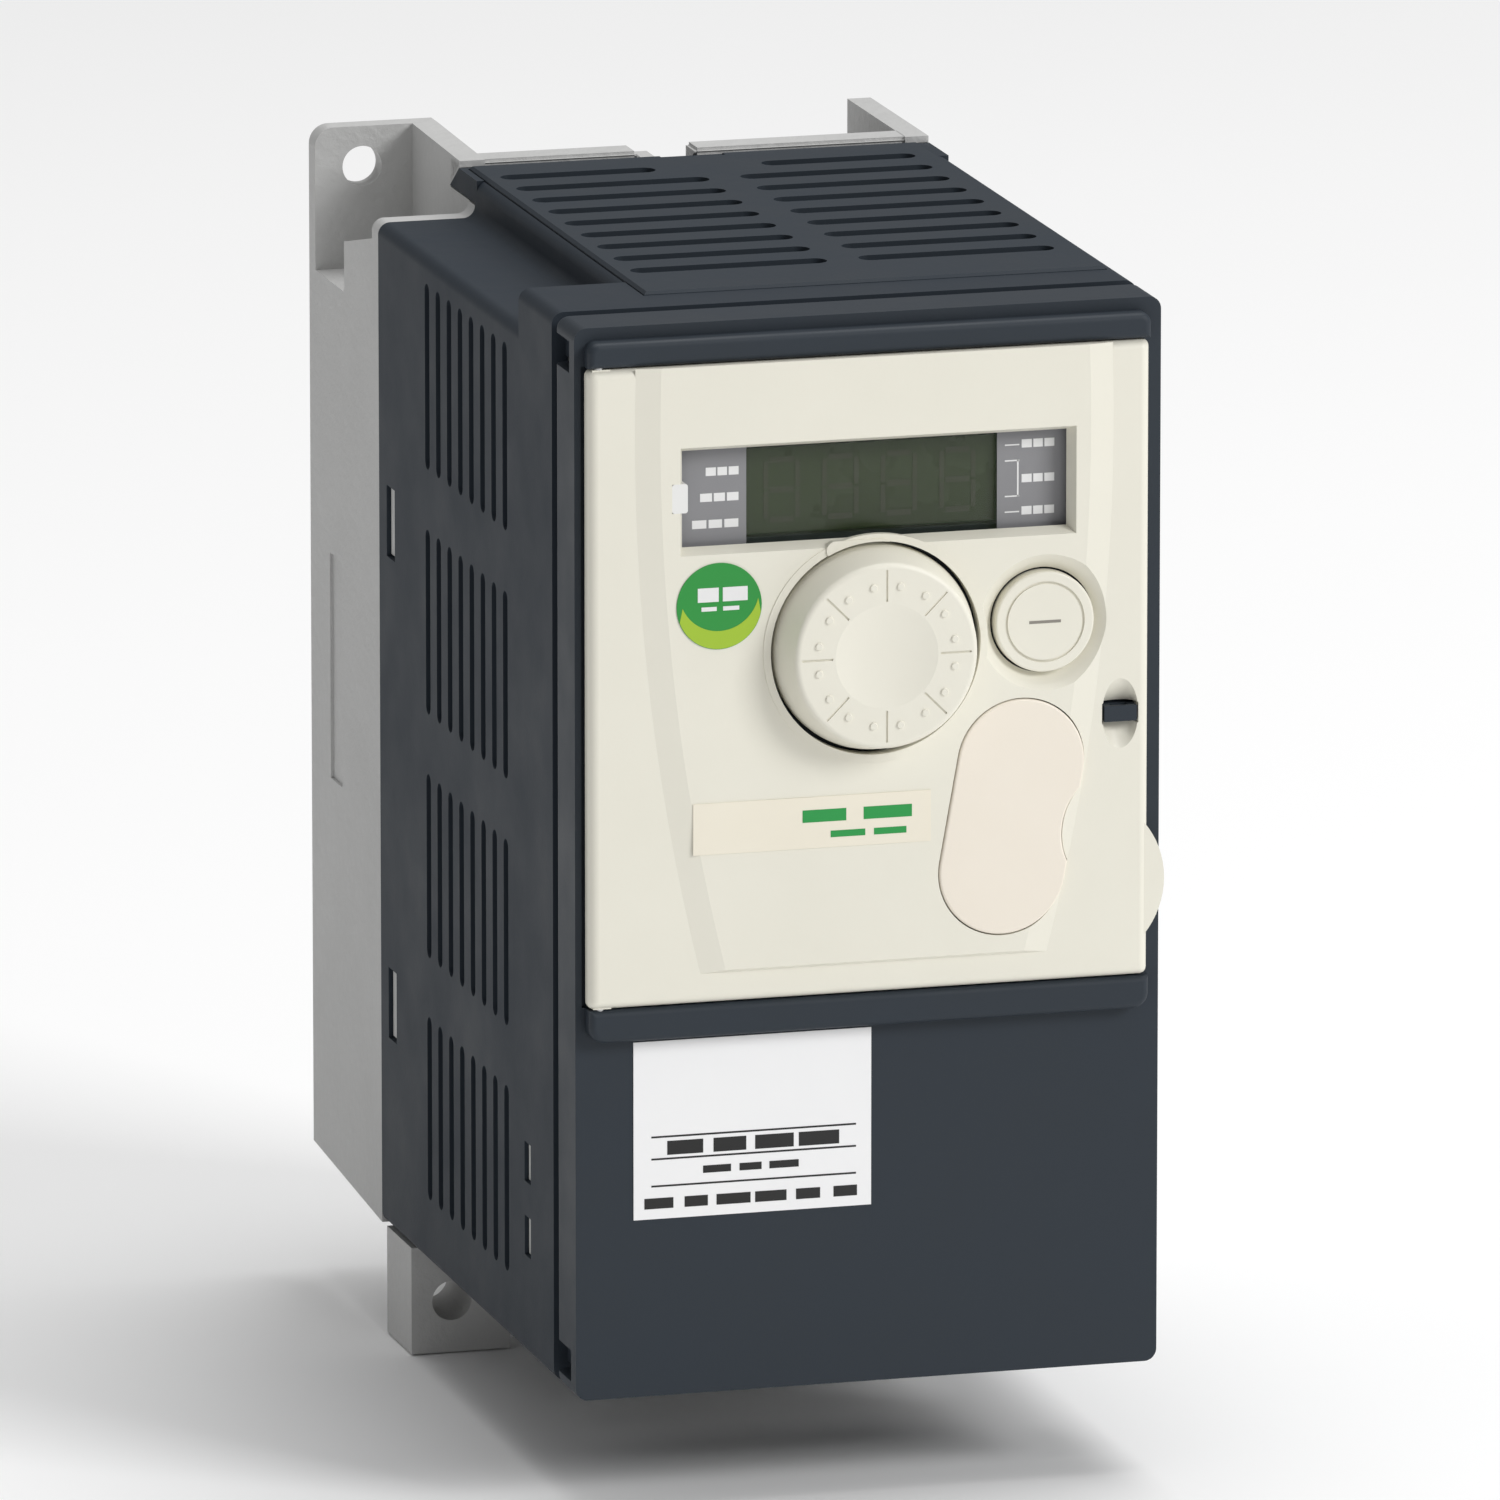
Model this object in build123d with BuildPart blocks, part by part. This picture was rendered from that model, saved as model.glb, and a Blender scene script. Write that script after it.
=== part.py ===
from build123d import *
import os

os.makedirs("parts", exist_ok=True)

# Compact single-phase variable frequency drive for a small motor, for wall or panel mounting.
# Millimetres. +X to the right of someone facing the drive, +Y towards the wall, +Z up.
# The origin is midway between the two fixing holes, on the wall plane.

# ---------------------------------------------------------------- overall sizes
WIDTH = 72.0
HEIGHT = 130.0  # housing, without tabs and lugs
DEPTH = 124.0  # wall plane to the face of the front door
UPPER_HOLE_DOWN = 3.75  # fixing hole below the top of the housing
LOWER_HOLE_UP = 4.75  # fixing hole above the underside of the housing
HOLE_INSET = 6.0  # fixing hole from the side of the housing
HOLE_DIAMETER = 5.0
HOLE_MARGIN = 5.0  # fixing hole to the end of its tab

# ---------------------------------------------------------------- clearances
FIT_GAP = 0.15  # between a cover and the frame around it
SLIP_GAP = 0.3  # between casting and housing
OVERCUT = 1.0  # a cut's run past the face it opens
BITE = 1.0  # a piece's run into the body it grows from
HAIR = 0.01  # a lofted piece's start beyond the face it meets
RUNNING_GAP = 0.05  # radial, pin or shaft in its bore
KEY_GAP = 0.25  # radial, key in its hole

# ---------------------------------------------------------------- housing
WALL = 2.0
ROOF_THICK = 2.9
SINK_DEPTH = 33.5  # wall plane to the rear edge of the housing
SEAM_DEPTH = 10.0  # door face to the front edge of the housing
CORNER = 1.5
NOTCH_WIDE = 12.2  # corner notch that clears the fixing screw
NOTCH_HIGH = 4.7
NOTCH_START = 25.0  # door face to the front wall of the notch
OVERHANG_BOTTOM = 11.8  # roof past the rear edge of the housing, along its underside
OVERHANG_TOP = 7.5

LOUVRE_LONG = 22.9
LOUVRE_WIDE = 2.1
LOUVRE_PITCH = 5.14
LOUVRE_COUNT = 8
LOUVRE_GROUPS = 4
LOUVRE_GROUP_PITCH = 30.33
LOUVRE_MIDDLE_BEHIND = 49.4
LOUVRE_MIDDLE_UP = 65.3

CLIP_WINDOW = (3.8, 8.9)  # depth, height
CLIP_WINDOW_AHEAD = 39.0  # middle, from the wall plane
CLIP_HEIGHTS = (28.65, 89.05)
CATCH_WINDOW = (2.8, 4.9)
CATCH_BEHIND = 21.8
CATCH_HEIGHTS = (14.85, 23.95)

POWER_ENTRY = (30.0, 64.0)  # cable opening in the underside, from and to, behind the door face
CONTROL_ENTRY = (13.0, 24.5)
ENTRY_INSET = 14.5

# ---------------------------------------------------------------- top ventilation cover
VENT_LEFT = 13.1
VENT_RIGHT = 1.6
VENT_FRONT = 16.8
VENT_REAR_AHEAD = 26.8
VENT_THICK = 2.0
VENT_PROUD = 0.4
VENT_LEDGE = 2.0
VENT_SLOT_WIDE = 3.0
VENT_SLOT_PITCH = 7.42
VENT_ROWS = 9
VENT_FIRST_ROW = 29.4
VENT_MARGIN = 1.9  # cover edge to the outer slot ends
VENT_SPINE = 4.0  # solid band between the two slot columns
VENT_LATCH_WIDE = 13.5
VENT_RIM = 1.0  # extra solid band along the right edge
VENT_EDGE = 0.35
VENT_NOTCH = (1.6, 0.8)  # finger notch: from the rear edge, deep
VENT_SKIRT = (1.2, 40.0, 60.0)  # outer face from the ledge's edge; from and to behind the door face
VENT_SKIRT_DOWN = 0.5  # below the roof's inner face

# ---------------------------------------------------------------- heat sink casting
FLANGE_THICK = 3.0
BASE_THICK = 7.0  # behind the housing
SPIGOT_DEEP = 8.0  # inside the housing
SINK_WALL = 3.0
TAB_THICK = 3.0
TAB_CORNER = 2.4
POCKET_WIDE = 12.4
POCKET_HIGH = 16.5  # pocket floor below the housing's top
GUSSET_THICK = 3.2
GUSSET_FOOT = 3.0
STEP_AHEAD = 17.0  # step in the outer wall, from the wall plane
STEP_UP = 6.3
LIP_RISE = 0.8  # casting above the housing's top
LIP_THICK = 4.6
LIP_GAP_LEFT = 35.0  # gap in the lip that takes the ventilation cover's latch
LIP_GAP_WIDE = 7.2
BAR_HIGH = 6.0
FIN_THICK = 1.8
FIN_COUNT = 11
FIN_TOP = 4.4  # tall fins below the housing's top
FIN_SHORT = 5.0  # short fins below the tall ones
FOOT_RISE = 2.4  # rear lower edge of the side wall above the housing's underside
SIDE_RECESS = (5.6, 28.5, 0.4)  # deep, high, sunk: cast recess in the left wall
SIDE_RECESS_AT = (12.2, 65.0)  # middle, from the wall plane and above the underside

LUG_INSET = 0.4
LUG_WIDE = 12.5
LUG_DROP = 13.75
LUG_AHEAD = 34.3  # rear face, from the wall plane
LUG_THICK = 11.7
LUG_STEM_UP = 9.0
LUG_HOLE_IN = 5.5  # from the side of the housing
LUG_HOLE_DOWN = 7.25
LUG_HOLE_DIAMETER = 5.0

# ---------------------------------------------------------------- front door
DOOR_DEEP = 9.0
DOOR_SKIN = 2.2
DOOR_WALL = 2.0
HINGE_IN = 3.6  # door axis from the left side
HINGE_BEHIND = 5.6
HINGE_PIN_RADIUS = 1.0
EAR_RADIUS = 1.9
EAR_HIGH = 2.8
EAR_END = 2.4  # outer face of an ear from the housing's top or underside
EAR_NOTCH = 3.3  # height of the notch in the door's side
DOOR_HEEL = 1.6  # round on the rear edge beside the hinge
LIP_FROM_TOP = (82.0, 86.0)  # band under the operator cover, distances below the top
CAP_FROM_TOP = (1.5, 4.55)
BAND_PROUD = 2.4
BAND_ROUND = (1.9, 1.2, 0.8)  # lower corners, upper corners, front edges
BAND_LEFT = 1.2
BAND_RIGHT = 1.8
LATCH_WIDE = 6.0
LATCH_AT = (2.5, 4.2)  # tongue, from the inner face of the right wall
LATCH_UP = 63.0
LATCH_REACH = 4.0  # past the front edge of the housing
CATCH = (2.2, 1.0, 3.0, 60.0, 72.0)  # out from the wall, from and to behind the seam, low and high
COVER_CHANNEL = (0.8, 4.6, 0.65)  # from and to in from the left side, deep
HINGE_BLOCK = 2.2  # reach of the pin blocks beyond the axis
PIN_END = 0.6  # end of a hinge pin from the top or underside
BOSS_RADIUS = 2.6
BOSS_HOLE_RADIUS = 1.0
BOSS_IN = 9.5
BOSS_DOWN = (11.2, 75.5)

# ---------------------------------------------------------------- operator cover
COVER_LEFT = 1.1
COVER_RIGHT = 2.0
COVER_TOP = 4.7  # below the housing's top
COVER_HIGH = 77.15
COVER_PROUD = 2.5
COVER_SKIN = 1.3
COVER_EDGE = 1.2
COVER_CORNER = 0.8
COVER_REAR = 0.1  # rear edge of the cover ahead of the door face
COVER_RELIEF = (3.0, 0.5)  # hinge side cut back from the door face: wide, deep
PILLOW_RISE = 0.6
PILLOW_SLOPE = (3.0, 0.4)  # narrower at its face than at its foot: sides, foot
PILLOW_LEFT = (6.8, 8.6, 14.6)  # left side of the pillow at its top, middle and foot
PILLOW_RIGHT = (6.7, 8.4, 14.6)
PILLOW_UP = 3.7  # foot of the pillow above the cover's lower edge
PILLOW_BELLY = 4.0  # fullest place of the sides below their middle
COVER_AXIS_IN = 2.6
COVER_AXIS_PROUD = 1.3
COVER_PIN_RADIUS = 0.6
COVER_PIN_REACH = 2.2
COVER_PIN_IN = 6.0  # length of a pin inside the cover
COVER_PIN_WALL = (0.6, 1.3)  # boss from the cover's side and face, boss beyond the axis
FINGER_TAB_HIGH = 12.4
FINGER_TAB_OUT = 2.0
FINGER_TAB_DOWN = 70.1  # middle, below the top
FINGER_TAB = (0.2, 1.6)  # front and rear faces behind the cover's face
POINTER = (48.3, 49.4, 90.9, 91.7, 0.25)  # raised mark beside the dial: X, X, Z, Z, proud
HOOD = (33.9, 102.3, 8.0, 2.2, 0.35)  # rounded hood over the display's edge: X, Z, wide, high, proud

DISPLAY_DOWN = 20.9  # middle of the display below the top
DISPLAY_IN = 36.4
WINDOW = (47.2, 11.6)  # opening in the cover
WINDOW_BEVEL = 0.7
LENS = (48.4, 13.0)
LENS_THICK = 0.8
LENS_SEAT = 1.0  # ledge that the lens rests on
PLATE_THICK = 0.3
DIGITS = (31.4, 10.6)
DIGITS_GAP = 0.2  # display module to the lens
LED = (2.0, 1.2, 1.1)  # wide, high, thick
LED_OUT = 3.6  # middle of a lamp beyond the digits
LED_PITCH = 3.3

DIAL_IN = 36.0
DIAL_DOWN = 39.8
DIAL_BASE_RADIUS = 12.4
DIAL_FACE_RADIUS = 11.1
DIAL_PROUD = 8.0  # face of the dial from the door face
DIAL_RELIEF = 1.0  # rear of the dial above the door face
DIAL_DISH_RADIUS = 6.3
DIAL_DISH_DEEP = 0.7
DIAL_HOLE_GAP = 0.5
COLLAR_WIDE = 0.9
COLLAR_PROUD = 0.15  # above the pillow
SHAFT_RADIUS = 3.0
SHAFT_RING = (0.9, 0.6)  # ring that keeps the shaft in: out, thick
DIAL_SKIN = 1.8
DIAL_RIM = 1.5
DIAL_SOCKET_WALL = 2.0
DIAL_SOCKET_FLOOR = 2.2  # shaft's end behind the dial's face
DIAL_HUB_SHORT = 0.2  # hub's end ahead of the dial's rear
DIAL_ROUND = 0.7
DIAL_LINES = (8.5, 8, 3.8, 0.25, 0.2)  # middle radius, count, long, wide, deep
DIAL_DOTS = (8.5, 16, 0.5, 0.25)  # middle radius, count, radius, high
DIAL_DOT_TAPER = 25.0
ENCODER = 12.4
ENCODER_GAP = 0.2  # body behind the door's skin
ENCODER_CAVITY = (0.8, 0.2, 4.3)  # front wall, rear wall, radius
ENCODER_TRAVEL = 0.7  # shaft's ring behind the front wall, so that it can be pressed
BUSH_RADIUS = 5.0
BUSH_PROUD = 0.4

ESC_AT = (57.0, 38.0)  # from the left, below the top
STOP_AT = (54.0, 54.9)
RUN_AT = (51.7, 67.75)
MODE_AT = (17.5, 46.0)
ESC_RADIUS = 6.1
ESC_DISH_RADIUS = 8.25
LOW_KEY_RADIUS = 5.0
KEY_STEM_RADIUS = 2.5
KEY_FLANGE_RADIUS = 3.5
KEY_FLANGE_THICK = 0.6
KEY_FLANGE_GAP = 0.3  # behind the door's skin
KEY_TRAVEL = 0.6
ESC_PROUD = (0.9, 2.7)  # rear and front of the cap, ahead of the door face
LOW_KEY_PROUD = 0.9
SWITCH_WIDE = 6.0
SWITCH_THICK = 1.6
PLUNGER_RADIUS = 1.75
PLUNGER_GAP = 0.05  # clear of a key that is fully pressed
KEY_RING = (4.6, 4.9, 0.25)  # groove on the escape key: inner and outer radius, depth
BLANK_RADIUS = 7.8
BLANK_WAIST_RADIUS = 8.0

SEAL_AT = (5.6, 49.7)  # from the right, below the top
SEAL_POCKET = (4.6, 10.4)  # oval pocket round the sealing eye: wide, high
SEAL_SLOT = (4.5, 2.5)  # opening in the pocket's floor
SEAL_RIM = (0.3, 0.1, 0.2)  # pocket wall: thick, behind the cover's face, slope of its sides
SEAL_EYE = (4.0, 1.9, 2.7)  # wide, high, ahead of the door face
SEAL_WIRE = (2.2, 1.1)  # wire hole: wide, deep

# ---------------------------------------------------------------- boards and electrical parts
BOARD_THICK = 1.6
BOARD_EDGE = 10.0  # power board from the top and the underside
POWER_BOARD_IN = 4.0  # from the sides
CONTROL_BOARD_IN = 5.0
CONTROL_BOARD_UP = 42.0
CONTROL_BOARD_DOWN = 11.0
CONTROL_BEHIND = 28.0  # front face of the control board
HMI_BEHIND = 6.0  # front face of the operator board
HMI_BOARD_IN = 6.0
HMI_BOARD_DOWN = (8.2, 78.6)
CARRIER_BEHIND = 36.0
CARRIER_THICK = 2.0
CARRIER_UP = 34.0
CARRIER_DOWN = 9.5
CHEEK_THICK = 1.6
CHEEK_BEHIND = 18.0
CHEEK_UP = (9.5, 40.0)
NOSE_SHORT = 0.5  # end of a nose inside the skin it clips through
AIR_SLOT = (36.0, 4.0)
AIR_SLOT_PITCH = 9.0
AIR_SLOTS = 4
AIR_SLOTS_AT = (34.0, 86.0)  # from the left, above the underside

POWER_SCREW_IN = 9.0  # in from either side
POWER_SCREW_INNER = 18.0  # the upper left screw, in from the left
POWER_SCREW_UP = 16.0
POWER_SCREW_DOWN = 14.0
MODULE_SCREW_UP = (56.0, 104.0)
EARTH_SCREW_IN = (23.0, 33.0)
EARTH_SCREW_UP = 7.0
CONTROL_SCREW_IN = 9.0
CONTROL_SCREW_UP = 62.0
CONTROL_SCREW_DOWN = 16.0
CROSS_LONG = 1.3  # length of a screw's cross, in head radii
CROSS_WIDE = 0.25  # width of a screw's cross, in head radii
CROSS_DEEP = 0.6  # depth of a screw's cross, as a share of the head
SCREW_RADIUS = 1.25
SCREW_HEAD_RADIUS = 2.4
SCREW_HEAD_HIGH = 1.8
SPACER_RADIUS = 3.0
PAN_RADIUS = 2.0  # heads of the operator board's screws
PAN_HIGH = 1.2
PAN_SLOT = (2.6, 0.5, 0.8)  # long, wide, deep
EARTH_RADIUS = 2.0
EARTH_HEAD_RADIUS = 3.5
EARTH_HEAD_HIGH = 2.4
TAPPED_DEEP = 6.0
SCREW_SHORT = 0.5  # end of a screw short of its hole's end

MODULE = (32.0, 60.0, 100.0)  # wide, low and high above the underside
MODULE_FOOT = (12.0, 51.5, 108.5)
MODULE_FOOT_THICK = 3.0
MODULE_THICK = 10.9
CAPACITOR_RADIUS = 11.0
CAPACITOR_LONG = 30.0
CAPACITOR_ROUND = 1.0
CAPACITOR_IN = 17.0
CAPACITOR_UP = (74.0, 100.0)
CHOKE_RADII = (6.0, 13.0)
CHOKE_THICK = 15.0
CHOKE_ROUND = 2.0
CHOKE_AT = (20.0, 50.0)  # from the right, above the underside
FILM_CAPACITOR_X = (11.0, 32.0)  # from the right
FILM_CAPACITOR_UP = ((66.0, 74.0), (77.0, 87.0))
FILM_CAPACITOR_THICK = 16.0
RELAY = (12.0, 31.0, 92.0, 107.0, 15.0)  # from the right, from and to; low, high, thick
RELAY_ROUND = 0.8
TRANSFORMER_CORE = (29.5, 39.0, 80.0, 96.0, 14.0)  # from the left, from and to; low, high, thick
TRANSFORMER_COIL = (31.0, 37.5, 83.0, 93.0, 17.0)

POWER_POLES = 7
POWER_TERMINAL_IN = 13.0
POWER_TERMINAL_UP = (12.0, 26.0)
POWER_TERMINAL_THICK = 18.0
POWER_WELL = (2.4, 3.5, 8.5)  # radius, deep, above the block's foot
POWER_WIRE = (3.8, 7.0, 10.0)  # square, middle behind the block's face, deep
POWER_FENCE = (0.6, 1.6)  # barrier between poles: thick, proud
POWER_CLAMP = (2.2, 2.0, 3.0)  # screw head: radius, high, sunk
CONTROL_POLES = 8
CONTROL_TERMINAL_X = (9.0, 43.0)
CONTROL_TERMINAL_UP = (42.0, 52.0)
CONTROL_TERMINAL_THICK = 10.0
CONTROL_WELL = (1.6, 2.5, 6.5)
CONTROL_WIRE = (2.8, 5.0, 6.0)
CONTROL_CLAMP = (1.5, 1.5, 2.2)
SOCKET_X = (47.0, 63.0)
SOCKET_UP = (42.0, 57.0)
SOCKET_THICK = 14.0
SOCKET_CAVITY_X = (49.2, 60.8)
SOCKET_CAVITY = (3.0, 11.5, 12.0)  # from and to ahead of the board, deep
CONNECTOR_X = (5.0, 9.0)  # from the right
CONNECTOR_UP = (70.0, 86.0)
CONNECTOR_GAP = 0.5
CHIPS = [((30.0, 88.0), (14.0, 14.0)), ((50.0, 96.0), (8.0, 5.0)), ((48.0, 80.0), (6.0, 10.0))]
CHIP_THICK = 1.5

# ---------------------------------------------------------------- labels
LABEL_THICK = 0.12
EDGE_ROUND = 0.3  # small moulded pieces
RATING_X = (7.1, 36.4)
RATING_BELOW_LIP = (0.6, 22.3)
STRIP_X = (13.6, 42.8)
STRIP_DOWN = (57.4, 63.6)
DOT_AT = (16.8, 33.6)
DOT_RADIUS = 5.2
PIPE_IN = (11.1, 13.0)
PIPE_DOWN = (18.7, 22.2)

# ---------------------------------------------------------------- places worked out from them
SPAN_Z = HEIGHT - UPPER_HOLE_DOWN - LOWER_HOLE_UP
FLOOR = -SPAN_Z / 2 - LOWER_HOLE_UP
ROOF = FLOOR + HEIGHT
LEFT = -WIDTH / 2
RIGHT = WIDTH / 2
FACE = -DEPTH
REAR = -SINK_DEPTH
SPIGOT_FACE = REAR - SPIGOT_DEEP
POWER_BOARD_REAR = SPIGOT_FACE - MODULE_THICK
POWER_BOARD_FACE = POWER_BOARD_REAR - BOARD_THICK
CEILING = ROOF - ROOF_THICK


def from_left(distance):
    return LEFT + distance


def from_right(distance):
    return RIGHT - distance


def behind(distance):
    """Y of a place behind the door's face."""
    return FACE + distance


def above(distance):
    """Z of a place above the housing's underside."""
    return FLOOR + distance


def below(distance):
    """Z of a place below the housing's top."""
    return ROOF - distance


def upright(y):
    """The vertical plane at depth y that faces the front, drawn with X and Z."""
    return Plane.XZ.offset(-y)


def slab(x, z, mode=Mode.ADD):
    """A rectangle in a sketch, from its low and high places."""
    with Locations(((x[0] + x[1]) / 2, (z[0] + z[1]) / 2)):
        Rectangle(x[1] - x[0], z[1] - z[0], mode=mode)


def brick(x, y, z, mode=Mode.ADD):
    """A box in a part, from its low and high places."""
    with Locations((x[0], y[0], z[0])):
        Box(x[1] - x[0], y[1] - y[0], z[1] - z[0], align=(Align.MIN,) * 3, mode=mode)


def put(part, name):
    part.label = name
    export_step(part, f"parts/{name}.step")


def shell_outline(y, inset, notched, corner):
    """The housing's outline at depth y, inset from its outer skin."""
    with BuildSketch(upright(y)) as outline:
        slab((LEFT + inset, RIGHT - inset), (FLOOR + inset, ROOF - inset))
        if notched:
            wide, high = NOTCH_WIDE + inset, NOTCH_HIGH + inset
            slab((LEFT, from_left(wide)), (ROOF - high, ROOF), Mode.SUBTRACT)
            slab((from_right(wide), RIGHT), (FLOOR, FLOOR + high), Mode.SUBTRACT)
        fillet(outline.vertices(), corner)
    return outline.sketch


def side_polygon(points, x_low, x_high):
    """A solid with a polygon side view (Y, Z), between two places along X."""
    with BuildPart() as piece:
        with BuildSketch(Plane.YZ.offset(x_low)):
            with BuildLine():
                Polyline(*points, close=True)
            make_face()
        extrude(amount=x_high - x_low)
    return piece.part


POWER_SCREWS = [
    (from_left(POWER_SCREW_IN), above(POWER_SCREW_UP)),
    (from_right(POWER_SCREW_IN), above(POWER_SCREW_UP)),
    (from_left(POWER_SCREW_INNER), below(POWER_SCREW_DOWN)),
    (from_right(POWER_SCREW_IN), below(POWER_SCREW_DOWN)),
]
MODULE_SCREWS = [(0, above(up)) for up in MODULE_SCREW_UP]
EARTH_SCREWS = [(from_left(distance), above(EARTH_SCREW_UP)) for distance in EARTH_SCREW_IN]
CONTROL_SCREWS = [
    (x, z)
    for x in (from_left(CONTROL_SCREW_IN), from_right(CONTROL_SCREW_IN))
    for z in (above(CONTROL_SCREW_UP), below(CONTROL_SCREW_DOWN))
]


def screws(places, seat_y, head_radius, head_high, shank_radius, shank_long):
    """Cross-head screws driven from the front, with their heads seated at seat_y."""
    with BuildPart() as group:
        with BuildSketch(upright(seat_y)):
            with Locations(*places):
                Circle(head_radius)
        extrude(amount=head_high)
        with BuildSketch(upright(seat_y - head_high)):
            with Locations(*places):
                Rectangle(CROSS_LONG * head_radius, CROSS_WIDE * head_radius)
                Rectangle(CROSS_WIDE * head_radius, CROSS_LONG * head_radius)
        extrude(amount=-head_high * CROSS_DEEP, mode=Mode.SUBTRACT)
        with BuildSketch(upright(seat_y)):
            with Locations(*places):
                Circle(shank_radius)
        extrude(amount=-shank_long)
    return group.part


def holed_board(rear_y, x, z, holes, radius):
    """A circuit board with its screw holes, standing upright with its rear face at rear_y."""
    with BuildPart() as board:
        with BuildSketch(upright(rear_y)):
            slab(x, z)
            with Locations(*holes):
                Circle(radius, mode=Mode.SUBTRACT)
        extrude(amount=BOARD_THICK)
    return board.part


def spacers(places, rear_y, long):
    """Round spacers with a through hole, standing on rear_y."""
    with BuildPart() as group:
        with BuildSketch(upright(rear_y)):
            with Locations(*places):
                Circle(SPACER_RADIUS)
                Circle(SCREW_RADIUS, mode=Mode.SUBTRACT)
        extrude(amount=long)
    return group.part


def terminal_block(x, z, face_y, rear_y, poles, well, wire):
    """A row of screw terminals: a round well in front of each screw and a square wire way below."""
    pitch = (x[1] - x[0]) / poles
    wells = [(x[0] + (pole + 0.5) * pitch, z[0] + well[2]) for pole in range(poles)]
    with BuildPart() as block:
        brick(x, (face_y, rear_y), z)
        with BuildSketch(upright(face_y)):
            with Locations(*wells):
                Circle(well[0])
        extrude(amount=-well[1], mode=Mode.SUBTRACT)
        with BuildSketch(Plane.XY.offset(z[0])):
            with Locations(*[(place[0], face_y + wire[1]) for place in wells]):
                Rectangle(wire[0], wire[0])
        extrude(amount=wire[2], mode=Mode.SUBTRACT)
    return block.part, wells


# ================================================================ heat sink
FLANGE_REAR = REAR + FLANGE_THICK
BASE_REAR = REAR + BASE_THICK
TAB_TOP = ROOF - UPPER_HOLE_DOWN + HOLE_MARGIN
TAB_BOTTOM = FLOOR + LOWER_HOLE_UP - HOLE_MARGIN
POCKET_FLOOR = ROOF - POCKET_HIGH
LIP_TOP = ROOF + LIP_RISE
OVERHANG_FOOT = REAR + OVERHANG_BOTTOM
OVERHANG_HEAD = REAR + OVERHANG_TOP
GUSSET_X = from_left(POCKET_WIDE)

left_wall = side_polygon(
    [
        (REAR, FLOOR),
        (0, FLOOR + FOOT_RISE),
        (0, POCKET_FLOOR),
        (-STEP_AHEAD, POCKET_FLOOR),
        (-STEP_AHEAD, POCKET_FLOOR + STEP_UP),
        (FLANGE_REAR, POCKET_FLOOR + STEP_UP + FLANGE_THICK),
        (REAR, POCKET_FLOOR + STEP_UP + FLANGE_THICK),
    ],
    LEFT,
    from_left(SINK_WALL),
)
# The casting's rear slopes where the roof overhangs it, so walls and lip share this front edge.
UNDER_ROOF = [
    (OVERHANG_FOOT + 2 * SLIP_GAP, CEILING - SLIP_GAP),
    (OVERHANG_HEAD + SLIP_GAP, ROOF),
]
right_wall = side_polygon(
    [
        (BASE_REAR, above(POCKET_HIGH)),
        (0, above(POCKET_HIGH)),
        (0, LIP_TOP),
        (OVERHANG_HEAD + SLIP_GAP, LIP_TOP),
        UNDER_ROOF[1],
        UNDER_ROOF[0],
        (BASE_REAR, CEILING - SLIP_GAP),
    ],
    from_right(SINK_WALL),
    RIGHT,
)
gusset = side_polygon(
    [
        (FLANGE_REAR, POCKET_FLOOR - GUSSET_FOOT),
        (0, POCKET_FLOOR - GUSSET_FOOT),
        (0, TAB_TOP),
        (-TAB_THICK, TAB_TOP),
        (OVERHANG_HEAD + SLIP_GAP, LIP_TOP),
        UNDER_ROOF[1],
        UNDER_ROOF[0],
        (FLANGE_REAR, CEILING - SLIP_GAP),
    ],
    GUSSET_X,
    GUSSET_X + GUSSET_THICK,
)
lower_gusset = side_polygon(
    [
        (FLANGE_REAR, above(POCKET_HIGH) + GUSSET_FOOT),
        (0, above(POCKET_HIGH) + GUSSET_FOOT),
        (0, TAB_BOTTOM),
        (-TAB_THICK, TAB_BOTTOM),
        (FLANGE_REAR, FLOOR),
    ],
    from_right(POCKET_WIDE) - GUSSET_THICK,
    from_right(POCKET_WIDE),
)
top_lip = side_polygon(
    [
        (BASE_REAR - BITE, CEILING - BAR_HIGH),
        (OVERHANG_HEAD + SLIP_GAP + LIP_THICK, CEILING - BAR_HIGH),
        (OVERHANG_HEAD + SLIP_GAP + LIP_THICK, LIP_TOP),
        (OVERHANG_HEAD + SLIP_GAP, LIP_TOP),
        UNDER_ROOF[1],
        UNDER_ROOF[0],
        (BASE_REAR - BITE, CEILING - SLIP_GAP),
    ],
    GUSSET_X,
    from_right(SINK_WALL - BITE / 2),
)

flange_outline = shell_outline(REAR, 0, True, CORNER)
spigot_outline = shell_outline(SPIGOT_FACE, WALL + SLIP_GAP, True, CORNER / 2)
FIN_PITCH = (WIDTH - POCKET_WIDE - GUSSET_THICK / 2 - SINK_WALL / 2) / (FIN_COUNT + 1)
FIN_MIDDLE = (GUSSET_X + GUSSET_THICK / 2 + from_right(SINK_WALL / 2)) / 2
LUG_FRONT = -LUG_AHEAD - LUG_THICK

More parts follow.
